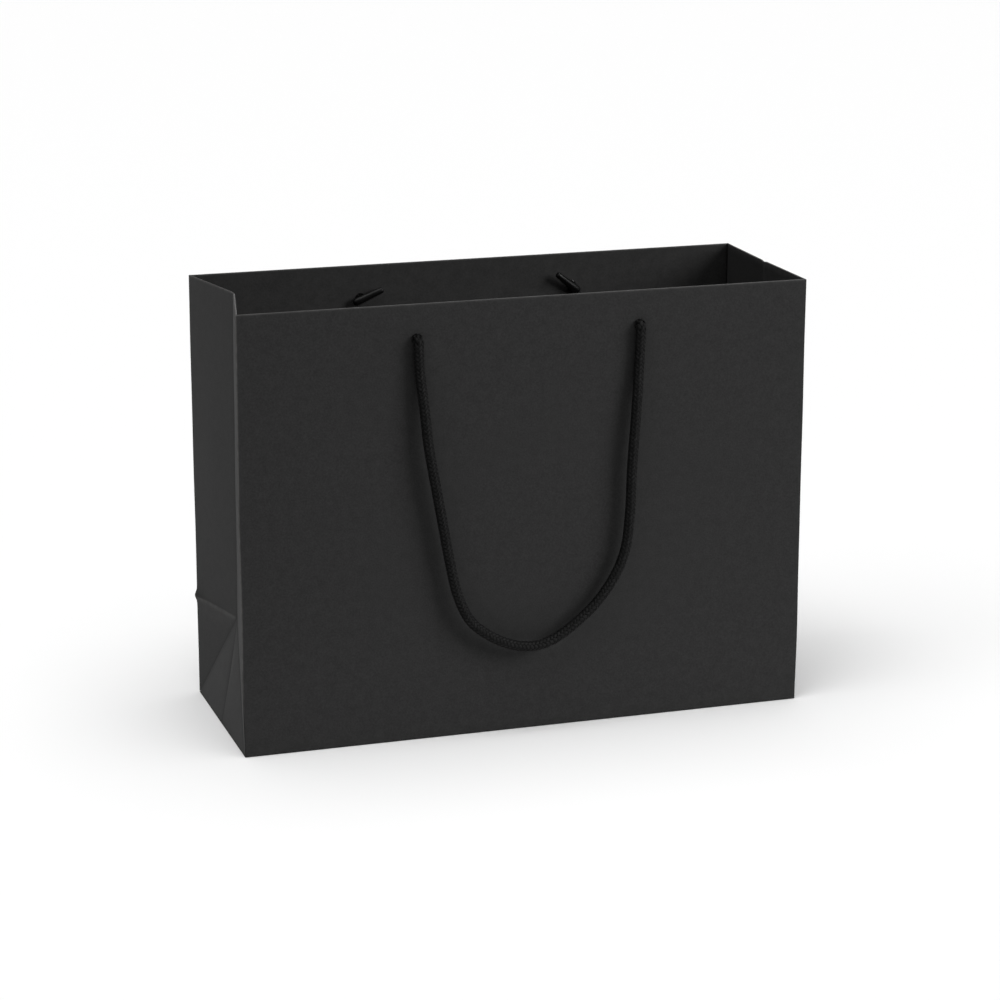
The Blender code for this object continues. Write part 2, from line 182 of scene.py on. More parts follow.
def handle_line(end):
    """One handle from hole to hole. The back handle is the front one turned half round."""
    across, drop, out = np.array(ROPE_ROUTE).T
    hanging = np.column_stack([
        -end * across * HOLE_X, end * (ROPE_AXIS_Y + out * ROPE_SWING_OUT), HOLE_Z - drop * ROPE_DROP,
    ])
    hanging = smooth_route(hanging)
    hanging = hanging[hanging[:, 2] < HOLE_Z - ROPE_ELBOW]
    bend = np.linspace(0, RIGHT_ANGLE, ELBOW_POINTS)
    elbow_y = end * (ROPE_AXIS_Y - ROPE_ELBOW * (1 - np.sin(bend)))
    elbow_z = HOLE_Z - ROPE_ELBOW * (1 - np.cos(bend))
    elbow = np.column_stack([np.zeros(ELBOW_POINTS), elbow_y, elbow_z])
    stub = np.array([[0, end * (ROPE_AXIS_Y - ROPE_ELBOW - ROPE_IN_HOLE), HOLE_Z]])
    turn_in = np.vstack([stub, elbow])
    first = turn_in + [end * HOLE_X, 0, 0]
    last = turn_in[::-1] - [end * HOLE_X, 0, 0]
    return even_steps(np.vstack([first, hanging, last]), RING_STEP)


print(f"Each handle is {handle_line(-1)[1] / MM:.0f} mm of rope from hole to hole")

# %% [markdown]
# Three small helpers come up again and again. An operator works on whatever is selected, so the first
# one selects a single piece. The second runs an operator on all of a piece in edit mode, and the third
# sets where its shading is smooth.

# %% Helpers for edit mode
def only(obj):
    """Select one object and make it the active one."""
    bpy.ops.object.select_all(action="DESELECT")
    obj.select_set(True)
    bpy.context.view_layer.objects.active = obj


def edit_all(obj, operator, **settings):
    """Run an edit mode operator on all of one object."""
    only(obj)
    bpy.ops.object.mode_set(mode="EDIT")
    bpy.ops.mesh.select_all(action="SELECT")
    operator(**settings)
    bpy.ops.object.mode_set(mode="OBJECT")


def smooth_faces(obj, degrees):
    """Smooth shading, with sharp edges where faces meet at a larger angle."""
    only(obj)
    bpy.ops.object.shade_smooth_by_angle(angle=math.radians(degrees))


# %% [markdown]
# The rope is a braid: eight yarns wind one way round a core, eight wind the other way, and each
# yarn goes over two and under two. Drawing that as a texture would leave a smooth outline, so the
# yarns are modelled. Every yarn is a small flattened tube, whose distance from the core rises and
# falls with a wave. Each point also remembers its place along and across its yarn, with which the
# material draws fine filaments, and how high the yarn rides there, less towards the yarn's edges,
# which the material turns into painted shade in the hollows of the braid and along the yarn edges.

# %% Braiding
YARNS_EACH_WAY = 8
BRAID_PITCH = 19.0 * MM
YARN_HALF_WIDTH = 0.93 * MM
YARN_HALF_HEIGHT = 0.48 * MM
YARN_SIDES = 6
YARN_RISE = 0.32 * MM
CORE_RADIUS = 1.85 * MM
CORE_SIDES = 10
YARN_PROUD = 0.1 * MM
WAVE_SHARPNESS = 1.6
# How much painted shade the edges of each yarn get
YARN_EDGE_SHADE = 1.2
OVER_START = {1: -0.5, -1: 2.5}
NO_ROPE_STARTS_THIS_WAY = (0.3, 0.2, 0.9)


def carried_frame(line):
    """Two directions across a line at every point, carried along it without a twist."""
    heading = np.gradient(line, axis=0)
    heading /= np.linalg.norm(heading, axis=1)[:, None]
    first = np.cross(heading[0], NO_ROPE_STARTS_THIS_WAY)
    carried = [first / np.linalg.norm(first)]
    for direction in heading[1:]:
        turned = carried[-1] - direction * np.dot(carried[-1], direction)
        carried.append(turned / np.linalg.norm(turned))
    carried = np.array(carried)
    return carried, np.cross(heading, carried)


def tube(rings, first):
    """Points and faces of a closed tube through rings of points, numbered from first."""
    count, sides = rings.shape[:2]
    number = first + np.arange(count * sides).reshape(count, sides)
    ahead = np.roll(number, -1, axis=1)
    walls = np.stack([number[:-1], ahead[:-1], ahead[1:], number[1:]], axis=-1).reshape(-1, 4)
    return rings.reshape(-1, 3), walls.tolist() + [number[0, ::-1].tolist(), number[-1].tolist()]


def ring_round(centre, across, outward, half_width, half_height, sides):
    """An elliptical ring of points round every point of a line."""
    turn = np.linspace(0, 2 * math.pi, sides, endpoint=False)
    wide = half_width * np.cos(turn)[None, :, None] * across[:, None, :]
    high = half_height * np.sin(turn)[None, :, None] * outward[:, None, :]
    return centre[:, None, :] + wide + high


def yarn_wave(along, way, yarn):
    """How high a yarn rides along the rope: 1 over the others and -1 under them."""
    crossings = 2 * YARNS_EACH_WAY * along / BRAID_PITCH
    phase = crossings + OVER_START[way] + 2 * way * yarn
    return np.tanh(WAVE_SHARPNESS * np.cos(phase * math.pi / 2)) / math.tanh(WAVE_SHARPNESS)


def braid(name, line, radius, core_radius):
    """A braided rope along a line, as one mesh of yarns and core."""
    side, up = carried_frame(line)
    along = run_along(line)
    size = radius / (ROPE_DIAMETER / 2)
    points, faces, yarn_places, yarn_rises = [], [], [], []

    def add(rings, place, rise):
        ring_points, ring_faces = tube(rings, sum(len(part) for part in points))
        points.append(ring_points)
        faces.extend(ring_faces)
        yarn_places.append(place.reshape(-1, 3))
        yarn_rises.append(rise.ravel())

    core = ring_round(line, side, up, core_radius, core_radius, CORE_SIDES)
    add(core, np.zeros(core.shape), np.full(core.shape[:2], -1.0))
    middle = radius - size * (YARN_HALF_HEIGHT + YARN_RISE)
    turn = np.linspace(0, 2 * math.pi, YARN_SIDES, endpoint=False)
    for way in (1, -1):
        for yarn in range(YARNS_EACH_WAY):
            wave = yarn_wave(along, way, yarn)
            angle = 2 * math.pi * (yarn / YARNS_EACH_WAY + way * along / BRAID_PITCH)
            outward = np.cos(angle)[:, None] * side + np.sin(angle)[:, None] * up
            centre = line + (middle + size * YARN_RISE * wave)[:, None] * outward
            heading = np.gradient(centre, axis=0)
            across = np.cross(heading, outward)
            across /= np.linalg.norm(across, axis=1)[:, None]
            wide = size * YARN_HALF_WIDTH
            rings = ring_round(centre, across, outward, wide, size * YARN_HALF_HEIGHT, YARN_SIDES)
            place = np.zeros(rings.shape)
            place[..., 0] = wide * np.cos(turn)[None, :] + yarn * ROPE_DIAMETER
            place[..., 1] = along[:, None]
            place[..., 2] = way * ROPE_DIAMETER
            # The yarn's rise, lowered towards its edges, becomes painted shade in the hollows and along the
            # yarn edges
            add(rings, place, wave[:, None] - YARN_EDGE_SHADE * np.cos(turn)[None, :] ** 2)
    mesh = bpy.data.meshes.new(name)
    mesh.from_pydata(np.vstack(points).tolist(), [], faces)
    places = mesh.attributes.new("yarn_place", "FLOAT_VECTOR", "POINT")
    places.data.foreach_set("vector", np.vstack(yarn_places).ravel())
    rises = mesh.attributes.new("yarn_rise_shade", "FLOAT", "POINT")
    rises.data.foreach_set("value", np.concatenate(yarn_rises))
    rope = bpy.data.objects.new(name, mesh)
    bpy.context.collection.objects.link(rope)
    edit_all(rope, bpy.ops.mesh.normals_make_consistent, inside=False)
    smooth_faces(rope, degrees=60)
    return rope


print("The braid has", 2 * YARNS_EACH_WAY, "yarns round its core")

# %% [markdown]
# Now both handles are braided along their routes. The rope is limp and both its ends are held, and it
# turns with its handle as one.

# %% Hang both handles
handles = {}
for word, end in (("front", -1), ("back", 1)):
    line, length = handle_line(end)
    handle = braid(f"{word}_handle_rope", line, ROPE_DIAMETER / 2 + YARN_PROUD, CORE_RADIUS)
    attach(handle, f"{word}_handle")
    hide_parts(f"{word}_rope")
    handles[word] = handle
    print(handle.name, "has", len(handle.data.polygons), "faces")

# %% [markdown]
# Paper next. A paper bag starts as a flat printed blank that a machine creases and folds, and we make
# it the same way. A grid is added and its lines are spaced out to suit the piece: close together
# where the paper bends, wider where it is flat. It is trimmed and punched while flat, and only then
# folded, by working out where each point of the flat sheet goes. Solidify gives it thickness last.

# %% Flat blanks
CELL = 3.0 * MM
COLLAR = 0.9 * MM
SMALLEST_END_CELL = 0.3


def ruled(start, stop, step, centre=None):
    """Evenly spaced lines from start to stop. With a centre, one cell is centred on it."""
    if centre is None:
        return list(np.linspace(start, stop, max(1, round(abs(stop - start) / step)) + 1))
    first = math.ceil((start - centre) / step - 0.5 + SMALLEST_END_CELL)
    last = math.floor((stop - centre) / step - 0.5 - SMALLEST_END_CELL)
    inner = [centre + (line + 0.5) * step for line in range(first, last + 1)]
    return [start, *inner, stop]


def collared(lines):
    """The same lines with one more just inside each end, so that a fold ends sharply."""
    middle = [line for line in lines[1:-1] if COLLAR < line - lines[0] and COLLAR < lines[-1] - line]
    return [lines[0], lines[0] + COLLAR, *middle, lines[-1] - COLLAR, lines[-1]]


def joined(*stretches):
    """Lines of several stretches in one list, each stretch starting where the last one stopped."""
    lines = list(stretches[0])
    for stretch in stretches[1:]:
        lines.extend(stretch[1:])
    return lines


def blank(name, columns, rows):
    """A flat grid with its lines at the given places."""
    bpy.ops.object.select_all(action="DESELECT")
    across, down = len(columns) - 1, len(rows) - 1
    bpy.ops.mesh.primitive_grid_add(x_subdivisions=across, y_subdivisions=down, size=2)
    sheet = bpy.context.object
    sheet.name = name
    sheet.data.name = name
    for vert in sheet.data.vertices:
        column = round((vert.co.x + 1) / 2 * across)
        row = round((vert.co.y + 1) / 2 * down)
        vert.co = (columns[column], rows[row], 0.0)
    return sheet


def pick(obj, kind, wanted):
    """Select the faces or edges that pass a test, and leave the object in edit mode."""
    only(obj)
    bpy.ops.object.mode_set(mode="EDIT")
    bpy.ops.mesh.select_mode(type=kind)
    bpy.ops.mesh.select_all(action="DESELECT")
    bpy.ops.object.mode_set(mode="OBJECT")
    for part in obj.data.polygons if kind == "FACE" else obj.data.edges:
        part.select = wanted(part)
    bpy.ops.object.mode_set(mode="EDIT")


def trim(sheet, wanted):
    """Cut away the faces whose middle passes a test."""
    pick(sheet, "FACE", lambda face: wanted(face.center))
    bpy.ops.mesh.delete(type="FACE")
    bpy.ops.object.mode_set(mode="OBJECT")


def edge_ends(obj, edge):
    """The places of an edge's two ends."""
    return [obj.data.vertices[number].co for number in edge.vertices]


print(f"Blanks are ruled in cells of {CELL / MM:.0f} mm")

# %% [markdown]
# A rope hole is punched through the flat blank. Nine cells round its middle are deleted, and the edge
# that is left is extruded inwards onto a circle, so the hole is round and the grid round it stays
# even.

# %% Punching a hole
HOLE_RADIUS = ROPE_DIAMETER / 2 + 0.3 * MM


def punch(sheet, across, down):
    """A round hole in a flat blank, in the middle of a cell."""
    nine_cells, their_rim = 1.2 * CELL, 1.7 * CELL

    def close(point, reach):
        return abs(point.x - across) < reach and abs(point.y - down) < reach

    trim(sheet, lambda middle: close(middle, nine_cells))
    before = len(sheet.data.vertices)
    pick(sheet, "EDGE", lambda edge: all(close(point, their_rim) for point in edge_ends(sheet, edge)))
    bpy.ops.mesh.extrude_edges_move()
    bpy.ops.object.mode_set(mode="OBJECT")
    for vert in sheet.data.vertices[before:]:
        spoke = Vector((vert.co.x - across, vert.co.y - down, 0.0)).normalized()
        vert.co = Vector((across, down, 0.0)) + HOLE_RADIUS * spoke


print(f"Rope holes are {2 * HOLE_RADIUS / MM:.1f} mm wide")

# %% [markdown]
# Real paper is never quite flat. It bows between its folds, and a corner that was pressed when the bag
# lay folded pokes out. All sheets share one list of such pushes: a place, how far it reaches, and how
# far the paper moves there. Because the list is shared, sheets that meet at a fold stay joined.

# %% Bows and dents
PUSHES = (
    ("front bow", (10, -59, 120), (95, 14, 62), (0, -0.9, 0)),
    ("front upper hollow", (-70, -59, 190), (60, 14, 34), (0, 0.45, 0)),
    ("front edge swell", (-165, -59, 42), (9, 12, 26), (-0.5, 0, 0)),
    ("front edge bow", (-165, -59, 135), (9, 12, 62), (-0.65, 0, 0)),
    ("front right edge swell", (165, -59, 46), (9, 12, 30), (0.5, 0, 0)),
    ("back bow", (20, 59, 135), (95, 14, 60), (0, 1.2, 0)),
    ("back corner poke", (-165, 59, 59.8), (7, 6, 2.6), (-1.2, 0.5, 0)),
    ("back right corner poke", (165, 59, 59.8), (7, 6, 2.6), (1.0, 0.5, 0)),
    ("right gusset bow", (165, -22, 165), (14, 26, 55), (0.7, 0, 0)),
    ("left gusset bow", (-160, 32, 150), (14, 22, 55), (-0.5, 0, 0)),
)
WRINKLE = 0.06 * MM
RIPPLES = ((47, 31, 0.0), (-29, 83, 1.3))
CALM_HEIGHT = 14.0 * MM


def pushed(place):
    """A point of the flat-sided bag, moved by the bows, dents and small wrinkles of the paper."""
    moved = place.copy()
    calm = min(1.0, max(0.0, place.z / CALM_HEIGHT))
    for _, middle, reach, push in PUSHES:
        far = sum(((place[axis] / MM - middle[axis]) / reach[axis]) ** 2 for axis in range(3))
        moved += calm * math.exp(-far) * MM * Vector(push)
    ripple = sum(math.sin(across * place.x + up * place.z + start) for across, up, start in RIPPLES)
    inward = Vector((place.x * HALF_DEPTH / HALF_WIDTH, place.y, 0.0))
    if inward.length:
        moved -= calm * WRINKLE * ripple * inward.normalized()
    return moved


print(len(PUSHES), "bows and dents")

# %% [markdown]
# Folding needs one more idea. Walk along a strip of paper from its inner hem: straight up, over a round
# fold, straight down, round the bottom fold and along the base. Each stretch has a length and, where it
# bends, a radius. A short walk along that list gives the place of any point of the strip, seen from
# the side.

# %% Folding a strip
TOP_ROLL = HEM_DEPTH / 2
FOOT_ROLL = 0.8 * MM
CORNER_ROLL = 0.8 * MM
CORNER_STEPS = 3
HEM_HEIGHT = 40.0 * MM
HEM_SETBACK = 1.3 * MM
CROSS_CREASE = 59.8 * MM
CORNER_ARC = CORNER_ROLL * RIGHT_ANGLE / 2
FLAT_HALF = HALF_WIDTH - CORNER_ROLL


def walk(moves, start, heading, distance):
    """The place, seen from the side, at a distance along a strip that turns left at each roll."""
    place = Vector(start)
    for length, radius in moves:
        here = min(distance, length)
        if radius:
            left = Vector((-math.sin(heading), math.cos(heading)))
            centre = place + radius * left
            heading += here / radius
            place = centre - radius * Vector((-math.sin(heading), math.cos(heading)))
        else:
            place = place + here * Vector((math.cos(heading), math.sin(heading)))
        distance -= here
        if distance <= 0:
            break
    return place


def rounded_edge(across, share):
    """Where a panel's side edge starts to turn the corner: its reach and how far it has turned in."""
    over = max(0.0, abs(across) - FLAT_HALF)
    angle = over / CORNER_ROLL
    turned = FLAT_HALF + CORNER_ROLL * math.sin(angle)
    flat = abs(across)
    reach = share * turned + (1 - share) * flat if over else flat
    return math.copysign(reach, across), share * CORNER_ROLL * (1 - math.cos(angle))


def panel_columns():
    """The columns of a wall, closer at its rounded side edges."""
    corner = ruled(0.0, CORNER_ARC, CORNER_ARC / CORNER_STEPS)
    left = [-FLAT_HALF - step for step in reversed(corner)]
    right = [FLAT_HALF + step for step in corner]
    return joined(left, collared(ruled(-FLAT_HALF, FLAT_HALF, CELL, HOLE_X)), right)


def store_wear_and_shading(sheet, marks):
    """Store each point's wear and painted shading: up to 1 on a fold, paler from cracks and painted
    highlight, below 0 where a crease gets painted shade.
    """
    wear_and_shading = sheet.data.attributes.new("fold_wear_and_shading", "FLOAT", "POINT")
    wear_and_shading.data.foreach_set("value", marks)


def face_outwards(sheet, outwards):
    """Flip a sheet whose largest face looks into the bag."""
    largest = max(sheet.data.polygons, key=lambda face: face.area)
    if largest.normal.dot(Vector(outwards)) > 0:
        return
    edit_all(sheet, bpy.ops.mesh.flip_normals)


def thicken(sheet):
    """Give a folded sheet the thickness of paper, inwards from its outer face."""
    only(sheet)
    bpy.ops.object.modifier_add(type="SOLIDIFY")
    solid = sheet.modifiers[-1]
    solid.thickness = PAPER
    solid.offset = -1.0
    solid.use_even_offset = True
    solid.use_quality_normals = True
    bpy.ops.object.modifier_apply(modifier=solid.name)
    smooth_faces(sheet, degrees=40)


print(f"Paper of {PAPER / MM:.1f} mm with a hem of {HEM_HEIGHT / MM:.0f} mm")

# %% [markdown]
# One sheet makes the hem inside the front, the front itself and the outer flap of the base. The back is
# the same strip turned half round, with a cross crease low down and a base flap that tapers. Both are
# folded by one function. A mark at every point keeps a light line along each fold, partly where the
# black surface of the paper has cracked a little and partly a painted highlight. It also paints light
# on the hem, and makes the paper slightly paler along the foot.

# %% Front and back sheets
HEM_RUN = HEM_HEIGHT - TOP_ROLL
TOP_TURN = math.pi * TOP_ROLL
FOOT_TURN = RIGHT_ANGLE * FOOT_ROLL
TOP_MIDDLE = HEM_RUN + TOP_TURN / 2
WALL_START = HEM_RUN + TOP_TURN
HOLE_DROP = HEIGHT - TOP_ROLL - HOLE_Z
TOP_STEPS = 10
ROLL_STEPS = 6
FLAP_STEP = 8.0 * MM
# Fold lines are paler: partly cracked fibres, partly a painted highlight where a fold catches the light
FOLD_LINE_REACH = 0.8 * MM
TOP_FOLD_WEAR_AND_HIGHLIGHT = 0.45
FOOT_FOLD_WEAR_AND_HIGHLIGHT = 0.15
CROSS_WEAR = 0.3
EDGE_LINE_REACH = 0.35 * MM
# Painted light: the hem is made paler, so that the inside of the back looks lit
HEM_PAINTED_LIGHT = 0.07
# A slightly paler band along the foot fold
FOOT_BAND_PALER = 0.06
FOOT_BAND_PALER_REACH = 6.0 * MM
# The front left upright fold gets the full pale line, partly painted highlight; the other three get a fifth
EDGE_WEAR_AND_HIGHLIGHT = {(-1, -1): 1.0, (1, -1): 0.2, (-1, 1): 0.2, (1, 1): 0.2}
EDGE_LINE_FADE = (20.0 * MM, 50.0 * MM)
back_flap_low, back_flap_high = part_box("base_back_flap")


def near(distance, reach):
    """1 on a line and 0 well away from it."""
    return math.exp(-((distance / reach) ** 2))


def edge_wear_and_highlight(side, end, height):
    """How pale an upright fold is at a height, from cracked fibres and a painted highlight. It fades out
    near the base.
    """
    low, high = EDGE_LINE_FADE
    return EDGE_WEAR_AND_HIGHLIGHT[(side, end)] * min(1.0, max(0.0, (height - low) / (high - low)))


def wall_rows(foot_start, flap_run, crease_row):
    """The rows of a wall from its hem to the tip of its base flap, closer where it bends."""
    hole_row = WALL_START + HOLE_DROP
    wall = ruled(WALL_START, foot_start, CELL, hole_row)
    if crease_row:
        upper = ruled(WALL_START, crease_row, CELL, hole_row)
        wall = joined(collared(upper), collared(ruled(crease_row, foot_start, CELL)))
    flap_start = foot_start + FOOT_TURN
    return joined(
        collared(ruled(0.0, HEM_RUN, CELL, HEM_RUN - HOLE_DROP)),
        ruled(HEM_RUN, WALL_START, TOP_TURN / TOP_STEPS),
        collared(wall),
        ruled(foot_start, flap_start, FOOT_TURN / ROLL_STEPS),
        ruled(flap_start, flap_start + flap_run, FLAP_STEP),
    )


def wall_wear_and_shading(across, down, place, end, foot_start, crease):
    """The wear and painted light of a wall at a point of its flat sheet that folds to a place."""
    # Painted light on the hem, pale fold lines that are partly painted highlight, and a paler band at the
    # foot
    worn_and_shaded = max(
        HEM_PAINTED_LIGHT if down < HEM_RUN else 0.0,
        TOP_FOLD_WEAR_AND_HIGHLIGHT * near(down - TOP_MIDDLE, FOLD_LINE_REACH),
        FOOT_FOLD_WEAR_AND_HIGHLIGHT * near(down - foot_start - FOOT_TURN / 2, FOLD_LINE_REACH),
        FOOT_BAND_PALER * near(down - foot_start, FOOT_BAND_PALER_REACH),
    )
    if down > TOP_MIDDLE:
        edge = edge_wear_and_highlight(1 if place.x > 0 else -1, end, place.z)
        worn_and_shaded = max(worn_and_shaded, edge * near(abs(across) - FLAT_HALF - CORNER_ARC, EDGE_LINE_REACH))
    if crease:
        worn_and_shaded = max(worn_and_shaded, CROSS_WEAR * near(place.z - crease, EDGE_LINE_REACH))
    return worn_and_shaded


def wall_sheet(name, end, foot_level, flap_run, flap_half, flap_tip_half, crease):
    """A wall of the bag with its hem and its base flap, cut and punched flat and then folded."""
    wall_run = HEIGHT - TOP_ROLL - FOOT_ROLL - foot_level
    foot_start = WALL_START + wall_run
    flap_start = foot_start + FOOT_TURN
    crease_row = foot_start - (crease - foot_level - FOOT_ROLL) if crease else None
    sheet = blank(name, panel_columns(), wall_rows(foot_start, flap_run, crease_row))
    trim(sheet, lambda middle: abs(middle.x) > HALF_WIDTH - HEM_SETBACK and middle.y < TOP_MIDDLE)
    for side in (-1, 1):
        punch(sheet, side * HOLE_X, HEM_RUN - HOLE_DROP)
        punch(sheet, side * HOLE_X, WALL_START + HOLE_DROP)
    moves = [(HEM_RUN, 0), (TOP_TURN, TOP_ROLL), (wall_run, 0), (FOOT_TURN, FOOT_ROLL), (flap_run, 0)]
    hem_edge = (-HALF_DEPTH + HEM_DEPTH, HEIGHT - HEM_HEIGHT)
    marks = []
    for vert in sheet.data.vertices:
        across, down = vert.co.x, vert.co.y
        depth, height = walk(moves, hem_edge, RIGHT_ANGLE, down)
        to_foot = min(1.0, max(0.0, (down - foot_start) / FOOT_TURN))
        reach, turned_in = rounded_edge(across, 1 - to_foot)
        if down > foot_start:
            along_flap = max(0.0, (down - flap_start) / flap_run)
            half = flap_half + along_flap * (flap_tip_half - flap_half)
            reach *= 1 + to_foot * (half / HALF_WIDTH - 1)
        place = Vector((reach, depth + turned_in, height))
        if end > 0:
            place = Vector((-place.x, -place.y, place.z))
        marks.append(wall_wear_and_shading(across, down, place, end, foot_start, crease))
        vert.co = pushed(place)
    store_wear_and_shading(sheet, marks)
    face_outwards(sheet, (0, end, -1))
    thicken(sheet)
    return sheet


front_sheet = wall_sheet(
    "front_sheet", -1, 0.0, 2 * HALF_DEPTH - FOOT_ROLL, HALF_WIDTH, HALF_WIDTH, None
)
back_level = back_flap_low[2]
back_run = back_flap_high[1] - back_flap_low[1] - FOOT_ROLL
BACK_FLAP_TAPER = 12.0 * MM
back_tip_half = back_flap_high[0] - BACK_FLAP_TAPER
back_sheet = wall_sheet(
    "back_sheet", 1, back_level, back_run, back_flap_high[0], back_tip_half, CROSS_CREASE
)
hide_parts("front_panel", "base_front_flap")
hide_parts("back_panel", "back_foot_panel", "base_back_flap")
for sheet in (front_sheet, back_sheet):
    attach(sheet, "bag")
    print(sheet.name, "has", len(sheet.data.polygons), "faces")

# %% [markdown]
# Each side of the bag is a gusset: a front half and a back half that meet at a crease down the middle,
# and a triangle that stands on the base. The left gusset is folded in a little, and the right one is
# almost flat. In plan, a half starts where the panel's rounded corner stops, finishes turning the
# corner and runs straight to the crease. Its lower edge is the slanting crease of the triangle. Real
# paper goes on round a crease, so hidden tabs behind the creases keep them closed as the gusset moves.

# %% The shape of a gusset
SIDES = {"left": -1, "right": 1}
GUSSET_ROLL = 0.55 * MM
GUSSET_TURN = math.pi * GUSSET_ROLL
GUSSET_HEM_RUN = HEM_HEIGHT - GUSSET_ROLL
GUSSET_HEM_SETBACK = 2.2 * MM
GUSSET_HEM_CREASE_ROOM = 0.05 * MM
GUSSET_HEM_STEP = 4.0 * MM
# Folds paler from cracks and painted highlight; painted shade and painted light on creases, hems and foot
# The gusset's top fold is paler: partly cracked fibres, partly painted highlight
GUSSET_TOP_WEAR_AND_HIGHLIGHT = 0.4
# Painted shade along the middle crease and the slanting creases
CREASE_SHADE_REACH = 0.8 * MM
MIDDLE_CREASE_SHADE = 0.5
DIAGONAL_SHADE = 0.6
DIAGONAL_SHADE_REACH = 2.0 * MM
# A paler band along the crease of the hem
HEM_CREASE_PALER = 0.15
HEM_CREASE_PALER_REACH = 3.0 * MM
# Painted light on the front half's hem and painted shade on the back half's hem
HEM_HALF_PAINTED_SHADING = {-1: 0.1, 1: -0.3}
# Painted light in a narrow band below the cross crease and painted shade just above it
CROSS_LIGHT_AND_SHADE_LINES = ((0.22, -1.3 * MM, 1.2 * MM), (-0.25, 0.8 * MM, 0.9 * MM))
# Broader painted shade above the cross crease and painted light below it
CROSS_SHADE = 0.2
CROSS_PAINTED_LIGHT = 0.1
CROSS_REACH = 10.0 * MM
# Painted light on the foot triangle, whose face tilts up
FOOT_PAINTED_LIGHT = 0.06
# Where the creases lie, and how the foot clears the base
FOOT_LIFT = 0.15 * MM
FOOT_TUCK = 0.35 * MM
CREASE_DEPTH = {"left": (11.0 * MM, 12.5 * MM), "right": (0.2 * MM, 0.9 * MM)}
CREASE_SHIFT = {"left": 1.3 * MM, "right": 0.0}
# Hidden tabs behind the creases
CREASE_TAB = 2.4 * MM
DIAGONAL_TAB = 1.8 * MM
TAB_JOG = 0.15 * MM
TAB_INSET = PAPER + 0.02 * MM
TAB_START = 0.06
TAB_ROWS = (0.5, 1.0)
TAB_EASE = 4
# The tip of the foot triangle, the dips beside creases and the nick where the middle crease ends
APEX = CROSS_CREASE + 2.4 * MM
VALLEY_DEPTH = 0.7 * MM
VALLEY_REACH = 5.0 * MM
TOP_NICK = 0.5 * MM
TOP_NICK_REACH = 2.0 * MM
MERGE_DISTANCE = 0.01 * MM
# Rows and columns, closer together where the paper bends. The cross crease is at row 1
CORNER_COLUMNS = (-1.0, -0.66, -0.33, 0.0)
FIRST_ROW = 0.004
UPPER_ROWS = joined(
    [0.0, FIRST_ROW], ruled(FIRST_ROW, 0.90, 0.03), ruled(0.90, 0.99, 0.01), [0.99, 0.995, 1.0],
)
LOWER_ROWS = joined(
    [1.0, 1.01, 1.025], ruled(1.025, 1.2, 0.03), ruled(1.2, 1.9, 0.07), [1.9, 1.93, 1.96, 1.98, 2.0],
)
LOWER_EDGE = {-1: UPPER_ROWS[-1], 1: LOWER_ROWS[-1]}
FOOT_COLUMNS = [0.0, 0.012, 0.025, *ruled(0.05, 0.92, 0.06), 0.95, 0.975, 1.0]
FOOT_ROWS = joined([0.0, 0.004, 0.012], ruled(0.012, 1.0, 0.05))


def crease_depth(word, height):
    """How far in the middle crease lies at a height."""
    low, high = CREASE_DEPTH[word]
    return low + (high - low) * (height - CROSS_CREASE) / (HEIGHT - CROSS_CREASE)


def gusset_point(word, end, share, height, inset):
    """A point of a gusset half. Its share is 0 at the corner, 1 at the crease, and below 0 in the turn."""
    side = SIDES[word]
    depth = crease_depth(word, height)
    corner = Vector((side * (HALF_WIDTH - CORNER_ROLL), end * (HALF_DEPTH - CORNER_ROLL)))
    crease = Vector((side * (HALF_WIDTH - depth), CREASE_SHIFT[word]))
    run = abs(crease.y - corner.y)
    fold = math.atan2(depth, run)
    turn = RIGHT_ANGLE + fold
    if share < 0:
        turn += share * (turn - RIGHT_ANGLE / 2)
    facing = Vector((side * math.sin(turn), end * math.cos(turn)))
    place = corner + CORNER_ROLL * facing
    if share > 0:
        place += share * (crease - place)
    place -= inset * facing
    return Vector((place.x, place.y, height))


def hem_stretch():
    """The stretch of a gusset half that its hem covers, as shares from the corner to the crease."""
    straight = HALF_DEPTH - CORNER_ROLL
    return (GUSSET_HEM_SETBACK - CORNER_ROLL) / straight, 1 - GUSSET_HEM_CREASE_ROOM / straight


def half_columns(end):
    """The columns of a gusset half. The front half runs on past the crease as a tab."""
    start, stop = hem_stretch()
    flat = ruled(start, stop - CREASE_SHADE_REACH / HALF_DEPTH, CELL / HALF_DEPTH)
    tab = [1 + TAB_JOG / HALF_DEPTH, 1 + CREASE_TAB / HALF_DEPTH] if end < 0 else []
    return [*CORNER_COLUMNS, *flat, stop, 1.0, *tab]


def half_rows(end):
    """The rows of a gusset half: its hem, its top fold, the paper down to its lower edge and a tab."""
    hem = ruled(-GUSSET_HEM_RUN - GUSSET_TURN, -GUSSET_TURN, GUSSET_HEM_STEP)
    roll = ruled(-GUSSET_TURN, 0.0, GUSSET_TURN / ROLL_STEPS)
    rows = joined(hem, roll, UPPER_ROWS)
    if end > 0:
        rows = joined(rows, LOWER_ROWS)
    return [*rows, *(LOWER_EDGE[end] + row for row in TAB_ROWS)]


def half_profile(end, down, diagonal, crossing):
    """The height of a point of a gusset half, and how far its hem has turned in there."""
    top = HEIGHT - GUSSET_ROLL
    if down < 0:
        turned = min(math.pi, -down / GUSSET_ROLL)
        height = top + GUSSET_ROLL * math.sin(turned) + min(0.0, GUSSET_TURN + down)
        return height, GUSSET_ROLL * (1 - math.cos(turned))
    if end < 0:
        return top - down * (top - max(diagonal, PAPER)), 0.0
    if down <= 1:
        return top - down * (top - crossing), 0.0
    return crossing - (down - 1) * (crossing - max(diagonal, back_level + PAPER)), 0.0


